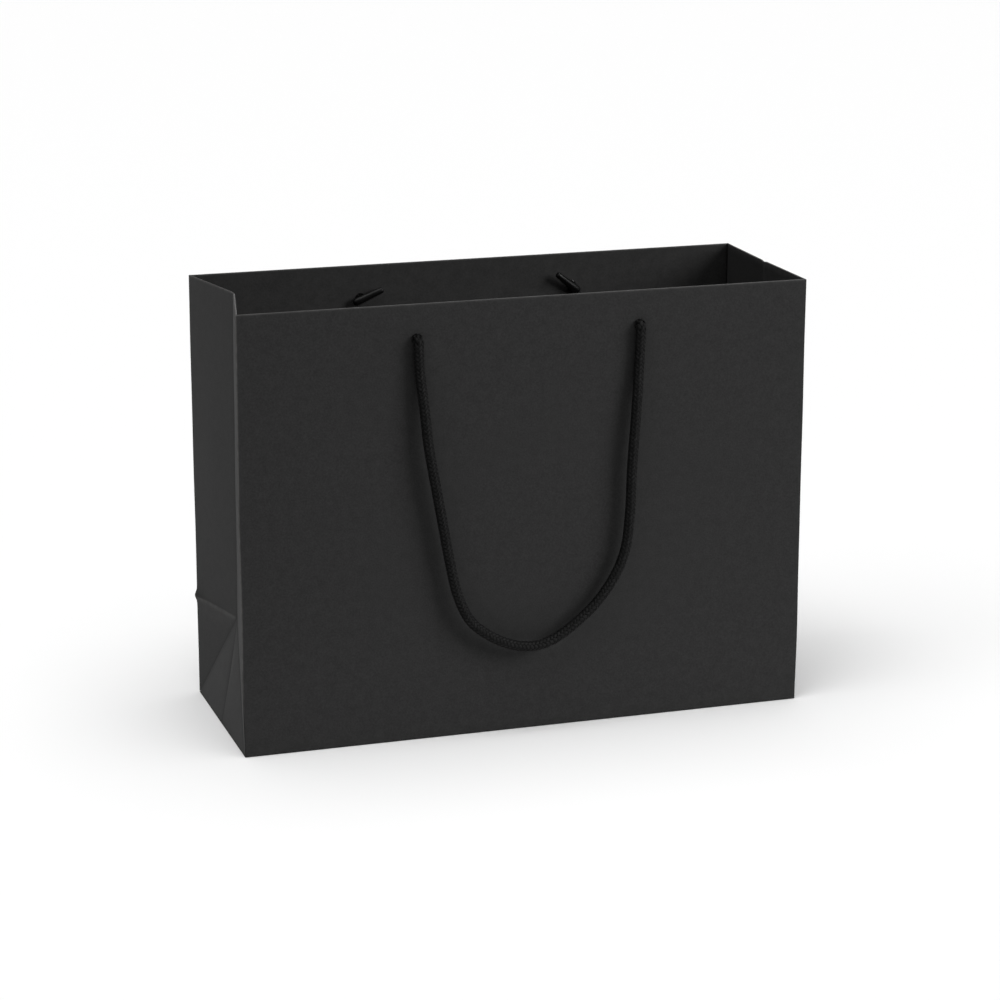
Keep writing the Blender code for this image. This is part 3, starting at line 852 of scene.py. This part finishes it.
def half_wear_and_shading(word, end, share, down, height, crossing):
    """How a gusset half is marked: folds paler from cracks and painted highlight, painted shade in its
    creases, painted light and shade by the cross crease and on its hem halves, and a paler band on the hem
    crease.
    """
    from_crease = (1 - share) * HALF_DEPTH
    edge = edge_wear_and_highlight(SIDES[word], end, height) * near((share + 1) * CORNER_ARC, EDGE_LINE_REACH)
    worn_and_shaded = max(GUSSET_TOP_WEAR_AND_HIGHLIGHT * near(height - HEIGHT, FOLD_LINE_REACH), edge)
    # Painted shade along the middle crease
    if down >= 0:
        worn_and_shaded -= MIDDLE_CREASE_SHADE * near(from_crease, CREASE_SHADE_REACH)
    # Painted light below the cross crease and painted shade above it, narrow and broad
    if down >= 0 and end > 0:
        for strength, offset, reach in CROSS_LIGHT_AND_SHADE_LINES:
            worn_and_shaded += strength * near(height - crossing - offset, reach)
        worn_and_shaded += (CROSS_PAINTED_LIGHT if down > 1 else -CROSS_SHADE) * near(height - crossing, CROSS_REACH)
    # Painted light and shade on the two hem halves, and a paler band along the hem crease
    if down < -GUSSET_TURN:
        worn_and_shaded += HEM_HALF_PAINTED_SHADING[end] + HEM_CREASE_PALER * near(from_crease, HEM_CREASE_PALER_REACH)
    return worn_and_shaded


def valley(distance, share):
    """How far a creased sheet dips in beside its crease, most in the middle of the crease."""
    return VALLEY_DEPTH * (4 * share * (1 - share)) * math.exp(-abs(distance) / VALLEY_REACH)


def finished_side(sheet, word, marks):
    """Mark a folded side sheet, close up the points at its tip and thicken it."""
    store_wear_and_shading(sheet, marks)
    edit_all(sheet, bpy.ops.mesh.remove_doubles, threshold=MERGE_DISTANCE)
    face_outwards(sheet, (SIDES[word], 0, 0))
    thicken(sheet)
    return sheet


print("A gusset half has", len(half_columns(-1)), "columns and", len(half_rows(-1)), "rows at the front")

# %% [markdown]
# The three sheets of a side are folded from those rows and columns. Each is worked out flat and placed
# point by point, with its wear and painted shading, so that they share their creases exactly.

# %% Folding the gussets
def gusset_half(word, end, name):
    """Half a gusset with its hem, folded from a flat blank. The back half has the cross crease."""
    sheet = blank(name, half_columns(end), half_rows(end))
    last = LOWER_EDGE[end]
    start, stop = hem_stretch()
    trim(sheet, lambda middle: middle.y < -GUSSET_TURN / 2 and not start < middle.x < stop)
    trim(sheet, lambda middle: middle.y > last and middle.x < TAB_START)
    trim(sheet, lambda middle: middle.y < FIRST_ROW and middle.x > 1)
    marks = []
    for vert in sheet.data.vertices:
        share, down = vert.co.x, vert.co.y
        past = max(0.0, down - last)
        down -= past
        flat_share = min(1.0, max(0.0, share))
        diagonal = flat_share * APEX
        crossing = CROSS_CREASE + flat_share * (APEX - CROSS_CREASE)
        height, inset = half_profile(end, down, diagonal, crossing)
        worn_and_shaded = half_wear_and_shading(word, end, share, down, height, crossing)
        if down <= 0:
            height -= TOP_NICK * near((1 - share) * HALF_DEPTH, TOP_NICK_REACH)
        if down >= 0 and end > 0:
            inset += valley(height - crossing, flat_share)
        height -= DIAGONAL_TAB * past**TAB_EASE
        if past or share > 1:
            inset += TAB_INSET
        # Painted shade along the slanting crease
        if down > 0 and share > 0:
            worn_and_shaded -= DIAGONAL_SHADE * near(height - diagonal, DIAGONAL_SHADE_REACH)
        marks.append(worn_and_shaded)
        vert.co = pushed(gusset_point(word, end, share, height, inset))
    return finished_side(sheet, word, marks)


def gusset_foot(word, name):
    """The triangle on the base edge: a fan of paper from the base to the tip, creased down its middle."""
    columns = [-column for column in reversed(FOOT_COLUMNS[1:])] + FOOT_COLUMNS
    sheet = blank(name, columns, FOOT_ROWS)
    marks = []
    for vert in sheet.data.vertices:
        across, up = vert.co.x, vert.co.y
        end = 1 if across > 0 else -1
        height = max(PAPER + FOOT_LIFT, up * APEX)
        edge = gusset_point(word, end, up, height, 0.0)
        other = gusset_point(word, -end, up, height, 0.0)
        middle = (edge + other) / 2
        place = middle + abs(across) * (edge - middle)
        dip = valley(across * (1 - up) * HALF_DEPTH, up)
        tuck = FOOT_TUCK if up == 0.0 else 0.0
        place.x -= SIDES[word] * (dip + tuck)
        spread = (1 - up) * HALF_DEPTH
        # Painted light on the whole foot, painted shade along its slanting edges and down its middle crease
        worn_and_shaded = FOOT_PAINTED_LIGHT - DIAGONAL_SHADE * near((1 - abs(across)) * spread, DIAGONAL_SHADE_REACH)
        marks.append(worn_and_shaded - DIAGONAL_SHADE * near(across * spread, CREASE_SHADE_REACH))
        vert.co = pushed(place)
    return finished_side(sheet, word, marks)


for word in SIDES:
    front_half = gusset_half(word, -1, f"{word}_gusset_front_sheet")
    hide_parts(f"{word}_gusset_front")
    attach(front_half, f"{word}_gusset_front")
    back_half = gusset_half(word, 1, f"{word}_gusset_back_sheet")
    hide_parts(f"{word}_gusset_back", f"{word}_corner_triangle")
    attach(back_half, f"{word}_gusset_back")
    foot = gusset_foot(word, f"{word}_foot_sheet")
    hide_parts(f"{word}_foot_triangle")
    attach(foot, f"{word}_foot")
    for sheet in (front_half, back_half, foot):
        print(sheet.name, "has", len(sheet.data.polygons), "faces")

# %% [markdown]
# The glue seam runs up the inside of the back: a narrow strip of the same sheet, stuck behind the back
# panel where the two ends of the blank meet. It follows the bow of the back, a hair's breadth inside it.

# %% Glue seam
seam_low, seam_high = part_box("seam_flap")
SEAM_LIFT = 0.15 * MM
SEAM_WAVE = 17.0 * MM
SEAM_WEAR = 0.6
SEAM_WEAR_REACH = 0.4 * MM


def seam_strip():
    """The strip of paper inside the back, its long edges lifted here and there."""
    columns = ruled(seam_low[0], seam_high[0], CELL)
    rows = ruled(seam_low[2], seam_high[2], 2 * CELL)
    strip = blank("seam_strip", columns, rows)
    middle = (seam_low[0] + seam_high[0]) / 2
    half = (seam_high[0] - seam_low[0]) / 2
    marks = []
    for vert in strip.data.vertices:
        across, height = vert.co.x, vert.co.y
        lift = SEAM_LIFT * ((across - middle) / half) ** 4 * (1 + math.sin(height / SEAM_WAVE)) / 2
        place = pushed(Vector((across, HALF_DEPTH, height)))
        place.y -= HALF_DEPTH - seam_high[1] + lift
        marks.append(SEAM_WEAR * near(abs(across - middle) - half, SEAM_WEAR_REACH))
        vert.co = place
    store_wear_and_shading(strip, marks)
    face_outwards(strip, (0, 1, 0))
    thicken(strip)
    return strip


seam = seam_strip()
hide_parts("seam_flap")
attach(seam, "bag")
print(seam.name, "has", len(seam.data.polygons), "faces")

# %% [markdown]
# A loose-cut board lies in the bottom and makes it stiff. It is a plain rectangle of grey board whose
# cut edges are crushed a little round by the knife, so its edges get a small bevel.

# %% Base board
board_low, board_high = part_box("base_board")
BOARD_CORNER = 2.0 * MM
BOARD_EDGE = 0.25 * MM


def base_board():
    """A box with rounded corners and softly crushed edges."""
    bpy.ops.object.select_all(action="DESELECT")
    middle = [(low + high) / 2 for low, high in zip(board_low, board_high)]
    size = [high - low for low, high in zip(board_low, board_high)]
    bpy.ops.mesh.primitive_cube_add(size=1.0, location=middle, scale=size)
    board = bpy.context.object
    board.name = "bottom_board"
    bpy.ops.object.transform_apply(location=True, rotation=True, scale=True)

    def upright(edge):
        start, stop = edge_ends(board, edge)
        return abs(start.z - stop.z) > size[2] / 2

    pick(board, "EDGE", upright)
    bpy.ops.mesh.bevel(offset=BOARD_CORNER, segments=4, affect="EDGES")
    bpy.ops.mesh.select_all(action="SELECT")
    bpy.ops.object.mode_set(mode="OBJECT")
    bpy.ops.object.modifier_add(type="BEVEL")
    crushed = board.modifiers[-1]
    crushed.width = BOARD_EDGE
    crushed.segments = 2
    crushed.limit_method = "ANGLE"
    bpy.ops.object.modifier_apply(modifier=crushed.name)
    smooth_faces(board, degrees=40)
    return board


board = base_board()
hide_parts("base_board")
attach(board, "bag")
print(board.name, "has", len(board.data.polygons), "faces")

# %% [markdown]
# Inside the bag, each end of a rope is pressed into a small moulded toggle that can't pass through its
# hole. A toggle is a tapering bar with a round heel and a blunt tip: a circle is extruded again and
# again, and each new ring is scaled to the bar's thickness there. A short stem joins it to the hem. The
# piece of rope that fills the hole is the same braid, swollen to fit, and it turns with its toggle.

# %% Toggles and rope ends
STEM_RADIUS = 2.0 * MM
TOGGLE_SIDES = 20
TAIL_RADIUS = HOLE_RADIUS - 0.05 * MM
TAIL_CORE = 0.9 * HOLE_RADIUS
TAIL_STOP = 0.8 * MM
TOGGLE_STATIONS = (
    (-5.5 * MM, 0.9 * MM), (-5.25 * MM, 1.55 * MM), (-4.5 * MM, 2.1 * MM), (-3.1 * MM, 2.4 * MM),
    (0.0 * MM, 2.25 * MM), (9.0 * MM, 1.95 * MM), (12.8 * MM, 1.8 * MM), (13.3 * MM, 1.6 * MM),
    (13.5 * MM, 1.1 * MM),
)
TOGGLES = {
    "front_left": (-1, -1, 30, 4),
    "front_right": (1, -1, 26, 4),
    "back_left": (-1, 1, 23, 4),
    "back_right": (1, 1, 38, 10),
}


def filled_circle(name, radius, place, turn):
    """A round face to start an extrusion from, in edit mode with the face selected."""
    bpy.ops.object.select_all(action="DESELECT")
    bpy.ops.mesh.primitive_circle_add(
        vertices=TOGGLE_SIDES, radius=radius, fill_type="NGON", location=place, rotation=turn
    )
    disc = bpy.context.object
    disc.name = name
    bpy.ops.object.transform_apply(location=True, rotation=True, scale=True)
    bpy.ops.object.mode_set(mode="EDIT")
    bpy.ops.mesh.select_mode(type="FACE")
    bpy.ops.mesh.select_all(action="SELECT")
    return disc


def toggle(name, side, end, rise, lean):
    """One toggle: a bar extruded from its heel to its tip, turned into place and joined to its stem."""
    height, radius = TOGGLE_STATIONS[0]
    bar = filled_circle(name, radius, (0, 0, height), (0, 0, 0))
    for station, wanted in TOGGLE_STATIONS[1:]:
        bpy.ops.mesh.extrude_region_move(TRANSFORM_OT_translate={"value": (0, 0, station - height)})
        scale = wanted / radius
        bpy.ops.transform.resize(value=(scale, scale, 1.0), center_override=(0, 0, station))
        height, radius = station, wanted
    bpy.ops.object.mode_set(mode="OBJECT")
    pivot = Matrix.Translation((side * HOLE_X, end * TOGGLE_AXIS_Y, HOLE_Z))
    swing = Matrix.Rotation(-side * math.radians(90 - rise), 4, "Y")
    bar.data.transform(pivot @ swing @ Matrix.Rotation(end * math.radians(lean), 4, "X"))
    stem_start = end * (HALF_DEPTH - HEM_DEPTH)
    stem = filled_circle("stem", STEM_RADIUS, (side * HOLE_X, stem_start, HOLE_Z), (RIGHT_ANGLE, 0, 0))
    run = end * TOGGLE_AXIS_Y - stem_start
    bpy.ops.mesh.extrude_region_move(TRANSFORM_OT_translate={"value": (0, run, 0)})
    bpy.ops.object.mode_set(mode="OBJECT")
    only(bar)
    stem.select_set(True)
    bpy.ops.object.join()
    edit_all(bar, bpy.ops.mesh.normals_make_consistent, inside=False)
    smooth_faces(bar, degrees=50)
    return bar


def rope_end(name, side, end):
    """The piece of rope that fills a hole, from the toggle to the outside."""
    hem_face = HALF_DEPTH - HEM_DEPTH
    inside = np.array([side * HOLE_X, end * hem_face, HOLE_Z])
    outside = np.array([side * HOLE_X, end * (ROPE_AXIS_Y - TAIL_STOP), HOLE_Z])
    line, _ = even_steps(np.array([inside, outside]), RING_STEP)
    return braid(name, line, TAIL_RADIUS, TAIL_CORE)


toggles, rope_ends = [], []
for corner, (side, end, rise, lean) in TOGGLES.items():
    arm = toggle(f"{corner}_moulded_toggle", side, end, rise, lean)
    tail = rope_end(f"{corner}_rope_end", side, end)
    for piece, node, slot in ((arm, "toggle", "black_plastic"), (tail, "rope_tail", "black_rope")):
        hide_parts(f"{corner}_{node}")
        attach(piece, f"{corner}_end")
    toggles.append(arm)
    rope_ends.append(tail)
print(len(toggles), "toggles of", len(toggles[0].data.polygons), "faces")

# %% [markdown]
# Materials come last. Colours are picked as sRGB hex values, the way a paint program shows them, and
# one function turns them to the linear values that the renderer works with. Small functions add the
# nodes that come up again, such as noise, a stretched range or a bump, so each material is a short list.

# %% Colours and nodes
def linear(hex_code):
    """An sRGB hex colour as linear red, green, blue and alpha."""
    parts = [int(hex_code[start:start + 2], 16) / 255 for start in (1, 3, 5)]
    return [part / 12.92 if part <= 0.04045 else ((part + 0.055) / 1.055) ** 2.4 for part in parts] + [1.0]


def add_node(tree, kind, sockets=None, links=None, **settings):
    """Add a node with its settings, its socket values and its links."""
    node = tree.nodes.new(kind)
    for name, value in settings.items():
        setattr(node, name, value)
    for name, value in (sockets or {}).items():
        node.inputs[name].default_value = value
    for name, source in (links or {}).items():
        tree.links.new(source, node.inputs[name])
    return node


def new_material(name, sockets):
    """A material with a Principled shader, and its shader and node tree."""
    material = bpy.data.materials.new(name)
    material.use_nodes = True
    tree = material.node_tree
    shader = tree.nodes["Principled BSDF"]
    for socket, value in sockets.items():
        shader.inputs[socket].default_value = value
    return material, tree, shader


def blended(tree, share, first, second):
    """Two colours mixed by a share. Each of the three is a fixed value or another node's output."""
    mix = add_node(tree, "ShaderNodeMix", data_type="RGBA")
    for socket, value in ((0, share), (6, first), (7, second)):
        if isinstance(value, bpy.types.NodeSocket):
            tree.links.new(value, mix.inputs[socket])
        else:
            mix.inputs[socket].default_value = linear(value) if isinstance(value, str) else value
    return mix.outputs[2]


def noise(tree, place, grain, detail, roughness=0.5):
    """Cloudy noise with grains of one size."""
    sockets = {"Scale": 1 / grain, "Detail": detail, "Roughness": roughness}
    return add_node(tree, "ShaderNodeTexNoise", sockets, {"Vector": place}).outputs["Fac"]


def ranged(tree, value, start, stop, low=0.0, high=1.0):
    """A value that goes from low to high as another goes from start to stop."""
    sockets = {"From Min": start, "From Max": stop, "To Min": low, "To Max": high}
    return add_node(tree, "ShaderNodeMapRange", sockets, {"Value": value}).outputs["Result"]


def object_place(tree):
    """The place of a point on its object."""
    return add_node(tree, "ShaderNodeTexCoord").outputs["Object"]


def remembered(tree, name, output="Fac"):
    """A value that the points of a mesh remember."""
    return add_node(tree, "ShaderNodeAttribute", attribute_name=name).outputs[output]


def surface(tree, shader, colour, height, strength, depth):
    """Give a shader its colour, and a relief that follows a height."""
    relief = add_node(tree, "ShaderNodeBump", {"Strength": strength, "Distance": depth}, {"Height": height})
    tree.links.new(colour, shader.inputs["Base Color"])
    tree.links.new(relief.outputs["Normal"], shader.inputs["Normal"])


print("A mid grey is", round(linear("#808080")[0], 3), "in linear light")

# %% [markdown]
# The paper is dyed right through and uncoated. Close up, its surface is a felt of short fibres, which
# makes it matt and gives it a faint salt-and-pepper mottle, with larger soft clouds where the pulp lay
# thicker. Along a fold the fibres break and the edge shows grey, and a painted highlight adds to that
# grey. Creases get painted shade, and some places get painted light. The fibre scale is drawn at 0.9 mm,
# coarser than real fibres, so that it shows at this distance.

# %% Dyed uncoated paper
FIBRE = 0.9 * MM
CLOUD = 5.0 * MM
CLOUD_SHARE = 0.4
# How far the pale tone goes: cracked folds together with painted highlight and painted light
PALE_WEAR_AND_LIGHT_SHARE = 0.7
# How dark the painted shade in the creases gets
CREASE_SHADE_SHARE = 0.8
PAPER_TONES = ("#151515", "#242424")
CLOUD_TONES = ("#191919", "#202020")
# The tone of the painted shade in the creases
CREASE_SHADE_TONE = "#080808"
# The pale tone of cracked folds, also used for painted highlight and painted light
PALE_WEAR_AND_LIGHT_TONE = "#595857"


def dyed_paper():
    """Matt black paper, grey at its cracked folds and where painted highlight and light lie, with painted
    shade in its creases.
    """
    material, tree, shader = new_material("dyed_uncoated_black_paper", {
        "Roughness": 0.85, "Specular IOR Level": 0.14, "Sheen Weight": 0.03, "Sheen Roughness": 0.5,
    })
    place = object_place(tree)
    fibres = noise(tree, place, FIBRE, detail=3.0, roughness=0.6)
    cloudy = ranged(tree, noise(tree, place, CLOUD, detail=2.0), 0.3, 0.7)
    plain = blended(tree, ranged(tree, fibres, 0.3, 0.7), *PAPER_TONES)
    both = blended(tree, CLOUD_SHARE, plain, blended(tree, cloudy, *CLOUD_TONES))
    worn_and_shaded = remembered(tree, "fold_wear_and_shading")
    # Paler where the mark is above 0: cracked folds, painted highlight and painted light
    paler_share = ranged(tree, worn_and_shaded, 0.0, 1.0, high=PALE_WEAR_AND_LIGHT_SHARE)
    patchy = ranged(tree, cloudy, 0.0, 1.0, low=0.6)
    wear_and_shading = add_node(tree, "ShaderNodeMath", {}, {0: paler_share, 1: patchy}, operation="MULTIPLY").outputs[0]
    # Painted shade where the mark is below 0, in the creases
    crease_shade = ranged(tree, worn_and_shaded, 0.0, -1.0, high=CREASE_SHADE_SHARE)
    with_crease_shade = blended(tree, crease_shade, both, CREASE_SHADE_TONE)
    surface(tree, shader, blended(tree, wear_and_shading, with_crease_shade, PALE_WEAR_AND_LIGHT_TONE), fibres, 0.25, 0.05 * MM)
    return material


paper = dyed_paper()
print(paper.name)

# %% [markdown]
# The rope is braided from polypropylene yarn. Each yarn is a bundle of smooth, slightly shiny filaments,
# so light runs along it in thin streaks. The streaks come from noise that is fine across a yarn and
# long along it, read from the place on its yarn that every point remembers.

# %% Braided yarn
FILAMENT = 0.22 * MM
STREAK = 4.0 * MM


def braided_yarn():
    """Streaked black yarn, with painted shade in the hollows of the braid and along the yarn edges."""
    material, tree, shader = new_material("braided_black_polypropylene_yarn", {
        "Roughness": 0.55, "IOR": 1.49, "Specular IOR Level": 0.05,
    })
    place = remembered(tree, "yarn_place", "Vector")
    stretch = {"Scale": (1 / FILAMENT, 1 / STREAK, 1 / FILAMENT)}
    drawn = add_node(tree, "ShaderNodeMapping", stretch, {"Vector": place}).outputs["Vector"]
    streaks = noise(tree, drawn, grain=1.0, detail=2.0)
    streaked = blended(tree, ranged(tree, streaks, 0.35, 0.65), "#080808", "#1b1b1b")
    # Painted shade: near black in the hollows of the braid and at the yarn edges
    crest_unshaded = ranged(tree, remembered(tree, "yarn_rise_shade"), -0.4, 0.7)
    surface(tree, shader, blended(tree, crest_unshaded, "#020202", streaked), streaks, 0.5, 0.08 * MM)
    return material


yarn = braided_yarn()
print(yarn.name)

# %% [markdown]
# The toggles are moulded in black polypropylene. A polished mould leaves the plastic smooth and fairly
# glossy, with a very slight waviness where it shrank as it cooled. The board is grey pulp board: matt
# and flecked with bits of darker and lighter fibre.

# %% Moulded plastic and grey board
SHRINK_WAVE = 3.0 * MM
FLECK = 0.8 * MM


def moulded_plastic():
    """Smooth black plastic with a slight waviness."""
    material, tree, shader = new_material("moulded_black_polypropylene", {
        "Roughness": 0.4, "IOR": 1.49, "Specular IOR Level": 0.12,
    })
    waves = noise(tree, object_place(tree), SHRINK_WAVE, detail=1.0)
    surface(tree, shader, blended(tree, waves, "#040404", "#080808"), waves, 0.3, 0.05 * MM)
    return material


def grey_board():
    """Matt grey board with flecks of fibre."""
    material, tree, shader = new_material("grey_pulp_board", {"Roughness": 0.9, "Specular IOR Level": 0.3})
    flecks = noise(tree, object_place(tree), FLECK, detail=4.0)
    grey = blended(tree, ranged(tree, flecks, 0.35, 0.65), "#77736d", "#99958e")
    surface(tree, shader, grey, flecks, 0.3, 0.1 * MM)
    return material


plastic, grey_pulp = moulded_plastic(), grey_board()
print(plastic.name, "and", grey_pulp.name)

# %% [markdown]
# Each piece now gets its one material. Every paper sheet remembers its wear and painted shading, so that
# finds them all. The base side flaps and the top cards are almost hidden, and the CAD solids show there
# in the same materials.

# %% Dress every piece
def dress(obj, material):
    """Give all of an object one material."""
    obj.data.materials.clear()
    obj.data.materials.append(material)


for rope in (*handles.values(), *rope_ends):
    dress(rope, yarn)
for arm in toggles:
    dress(arm, plastic)
dress(board, grey_pulp)
for piece in bpy.data.objects:
    if piece.type == "MESH" and "fold_wear_and_shading" in piece.data.attributes:
        dress(piece, paper)
for node, material in (
    ("base_left_flap", paper), ("base_right_flap", paper),
    ("front_top_card", grey_pulp), ("back_top_card", grey_pulp),
):
    frame["nodes"][node].material_slots[0].material = material
print(len(handles) + len(rope_ends), "pieces of rope and", len(toggles), "toggles dressed")

# %% [markdown]
# The bag stands on a plain white sweep in soft studio light. Three broad lamps high overhead burn the
# floor out to white and leave soft shadows close to the bag. A round key lamp at the right front throws
# the rope's shadow to the left, and a weaker one behind lights the back. A low card at the left brightens
# the gusset, and one on the floor lifts the foot of the front. Black paper needs much more light than a
# white floor, so light linking keeps these four off the floor. The world is a white backdrop that the
# camera sees but that lights nothing.

# %% Floor and light
FLOOR_SIZE = 40.0
FLOOR_GAP = 0.05 * MM
OVERHEAD_LAMPS = (
    ("overhead", 0, 90, 2.03, 60), ("front_top", 270, 70, 0.95, 50), ("left_top", 200, 55, 0.74, 40),
)
KEY_LAMPS = (("key_light", 322, 26, 47.0), ("back_light", 60, 28, 36.0))
KEY_DISTANCE = 2.0
KEY_SIZE = 1.1
LEFT_CARD_PLACE = (-0.75, 0.25, 0.08)
LEFT_CARD_SIZE = (0.6, 0.15)
LEFT_CARD_POWER = 1.9
FLOOR_CARD_PLACE = (0.0, -0.165, 0.002)
FLOOR_CARD_SIZE = (0.40, 0.20)
FLOOR_CARD_POWER = 0.12


def direction(azimuth, height):
    """The direction of a lamp, from its azimuth and its height above the floor in degrees."""
    around, up = math.radians(azimuth), math.radians(height)
    return Vector((math.cos(up) * math.cos(around), math.cos(up) * math.sin(around), math.sin(up)))


def facing(towards):
    """The turn that makes a lamp shine against a direction."""
    return towards.to_track_quat("Z", "Y").to_euler()


bpy.ops.object.select_all(action="DESELECT")
bpy.ops.mesh.primitive_plane_add(size=FLOOR_SIZE, location=(0, 0, cad_low[2] - FLOOR_GAP))
floor = bpy.context.object
floor.name = "studio_floor"
pale, _, _ = new_material("white_studio_sweep", {
    "Base Color": linear("#f4f4f4"), "Roughness": 0.9, "Specular IOR Level": 0.1,
})
dress(floor, pale)

for name, azimuth, height, strength, spread in OVERHEAD_LAMPS:
    bpy.ops.object.light_add(type="SUN", rotation=facing(direction(azimuth, height)))
    lamp = bpy.context.object
    lamp.name = name
    lamp.data.energy = strength
    lamp.data.angle = math.radians(spread)

off_the_floor = bpy.data.collections.new("off_the_floor")
off_the_floor.objects.link(floor)
off_the_floor.collection_objects[0].light_linking.link_state = "EXCLUDE"


def bag_lamp(name, place, towards, shape, size, power):
    """A flat lamp that lights the bag and leaves the floor alone."""
    bpy.ops.object.light_add(type="AREA", location=place, rotation=facing(towards))
    lamp = bpy.context.object
    lamp.name = name
    lamp.data.shape = shape
    lamp.data.size, lamp.data.size_y = size
    lamp.data.energy = power
    lamp.visible_camera = False
    lamp.light_linking.receiver_collection = off_the_floor


for name, azimuth, height, power in KEY_LAMPS:
    towards = direction(azimuth, height)
    place = KEY_DISTANCE * towards + Vector((0, math.copysign(HALF_DEPTH, towards.y), HEIGHT / 2))
    bag_lamp(name, place, towards, "DISK", (KEY_SIZE, KEY_SIZE), power)
bag_lamp("left_card", LEFT_CARD_PLACE, Vector((-1, 0, 0)), "RECTANGLE", LEFT_CARD_SIZE, LEFT_CARD_POWER)
bag_lamp("floor_card", FLOOR_CARD_PLACE, Vector((0, 0, -1)), "RECTANGLE", FLOOR_CARD_SIZE,
         FLOOR_CARD_POWER)

world = bpy.context.scene.world or bpy.data.worlds.new("studio")
bpy.context.scene.world = world
world.use_nodes = True
world.node_tree.nodes["Background"].inputs["Color"].default_value = (1.0, 1.0, 1.0, 1.0)
world.node_tree.nodes["Background"].inputs["Strength"].default_value = 1.0
world.cycles_visibility.diffuse = False
world.cycles_visibility.glossy = False
bpy.context.scene.view_settings.view_transform = "Standard"
print("Floor,", len(OVERHEAD_LAMPS), "overhead lamps,", len(KEY_LAMPS), "round lamps and two cards")
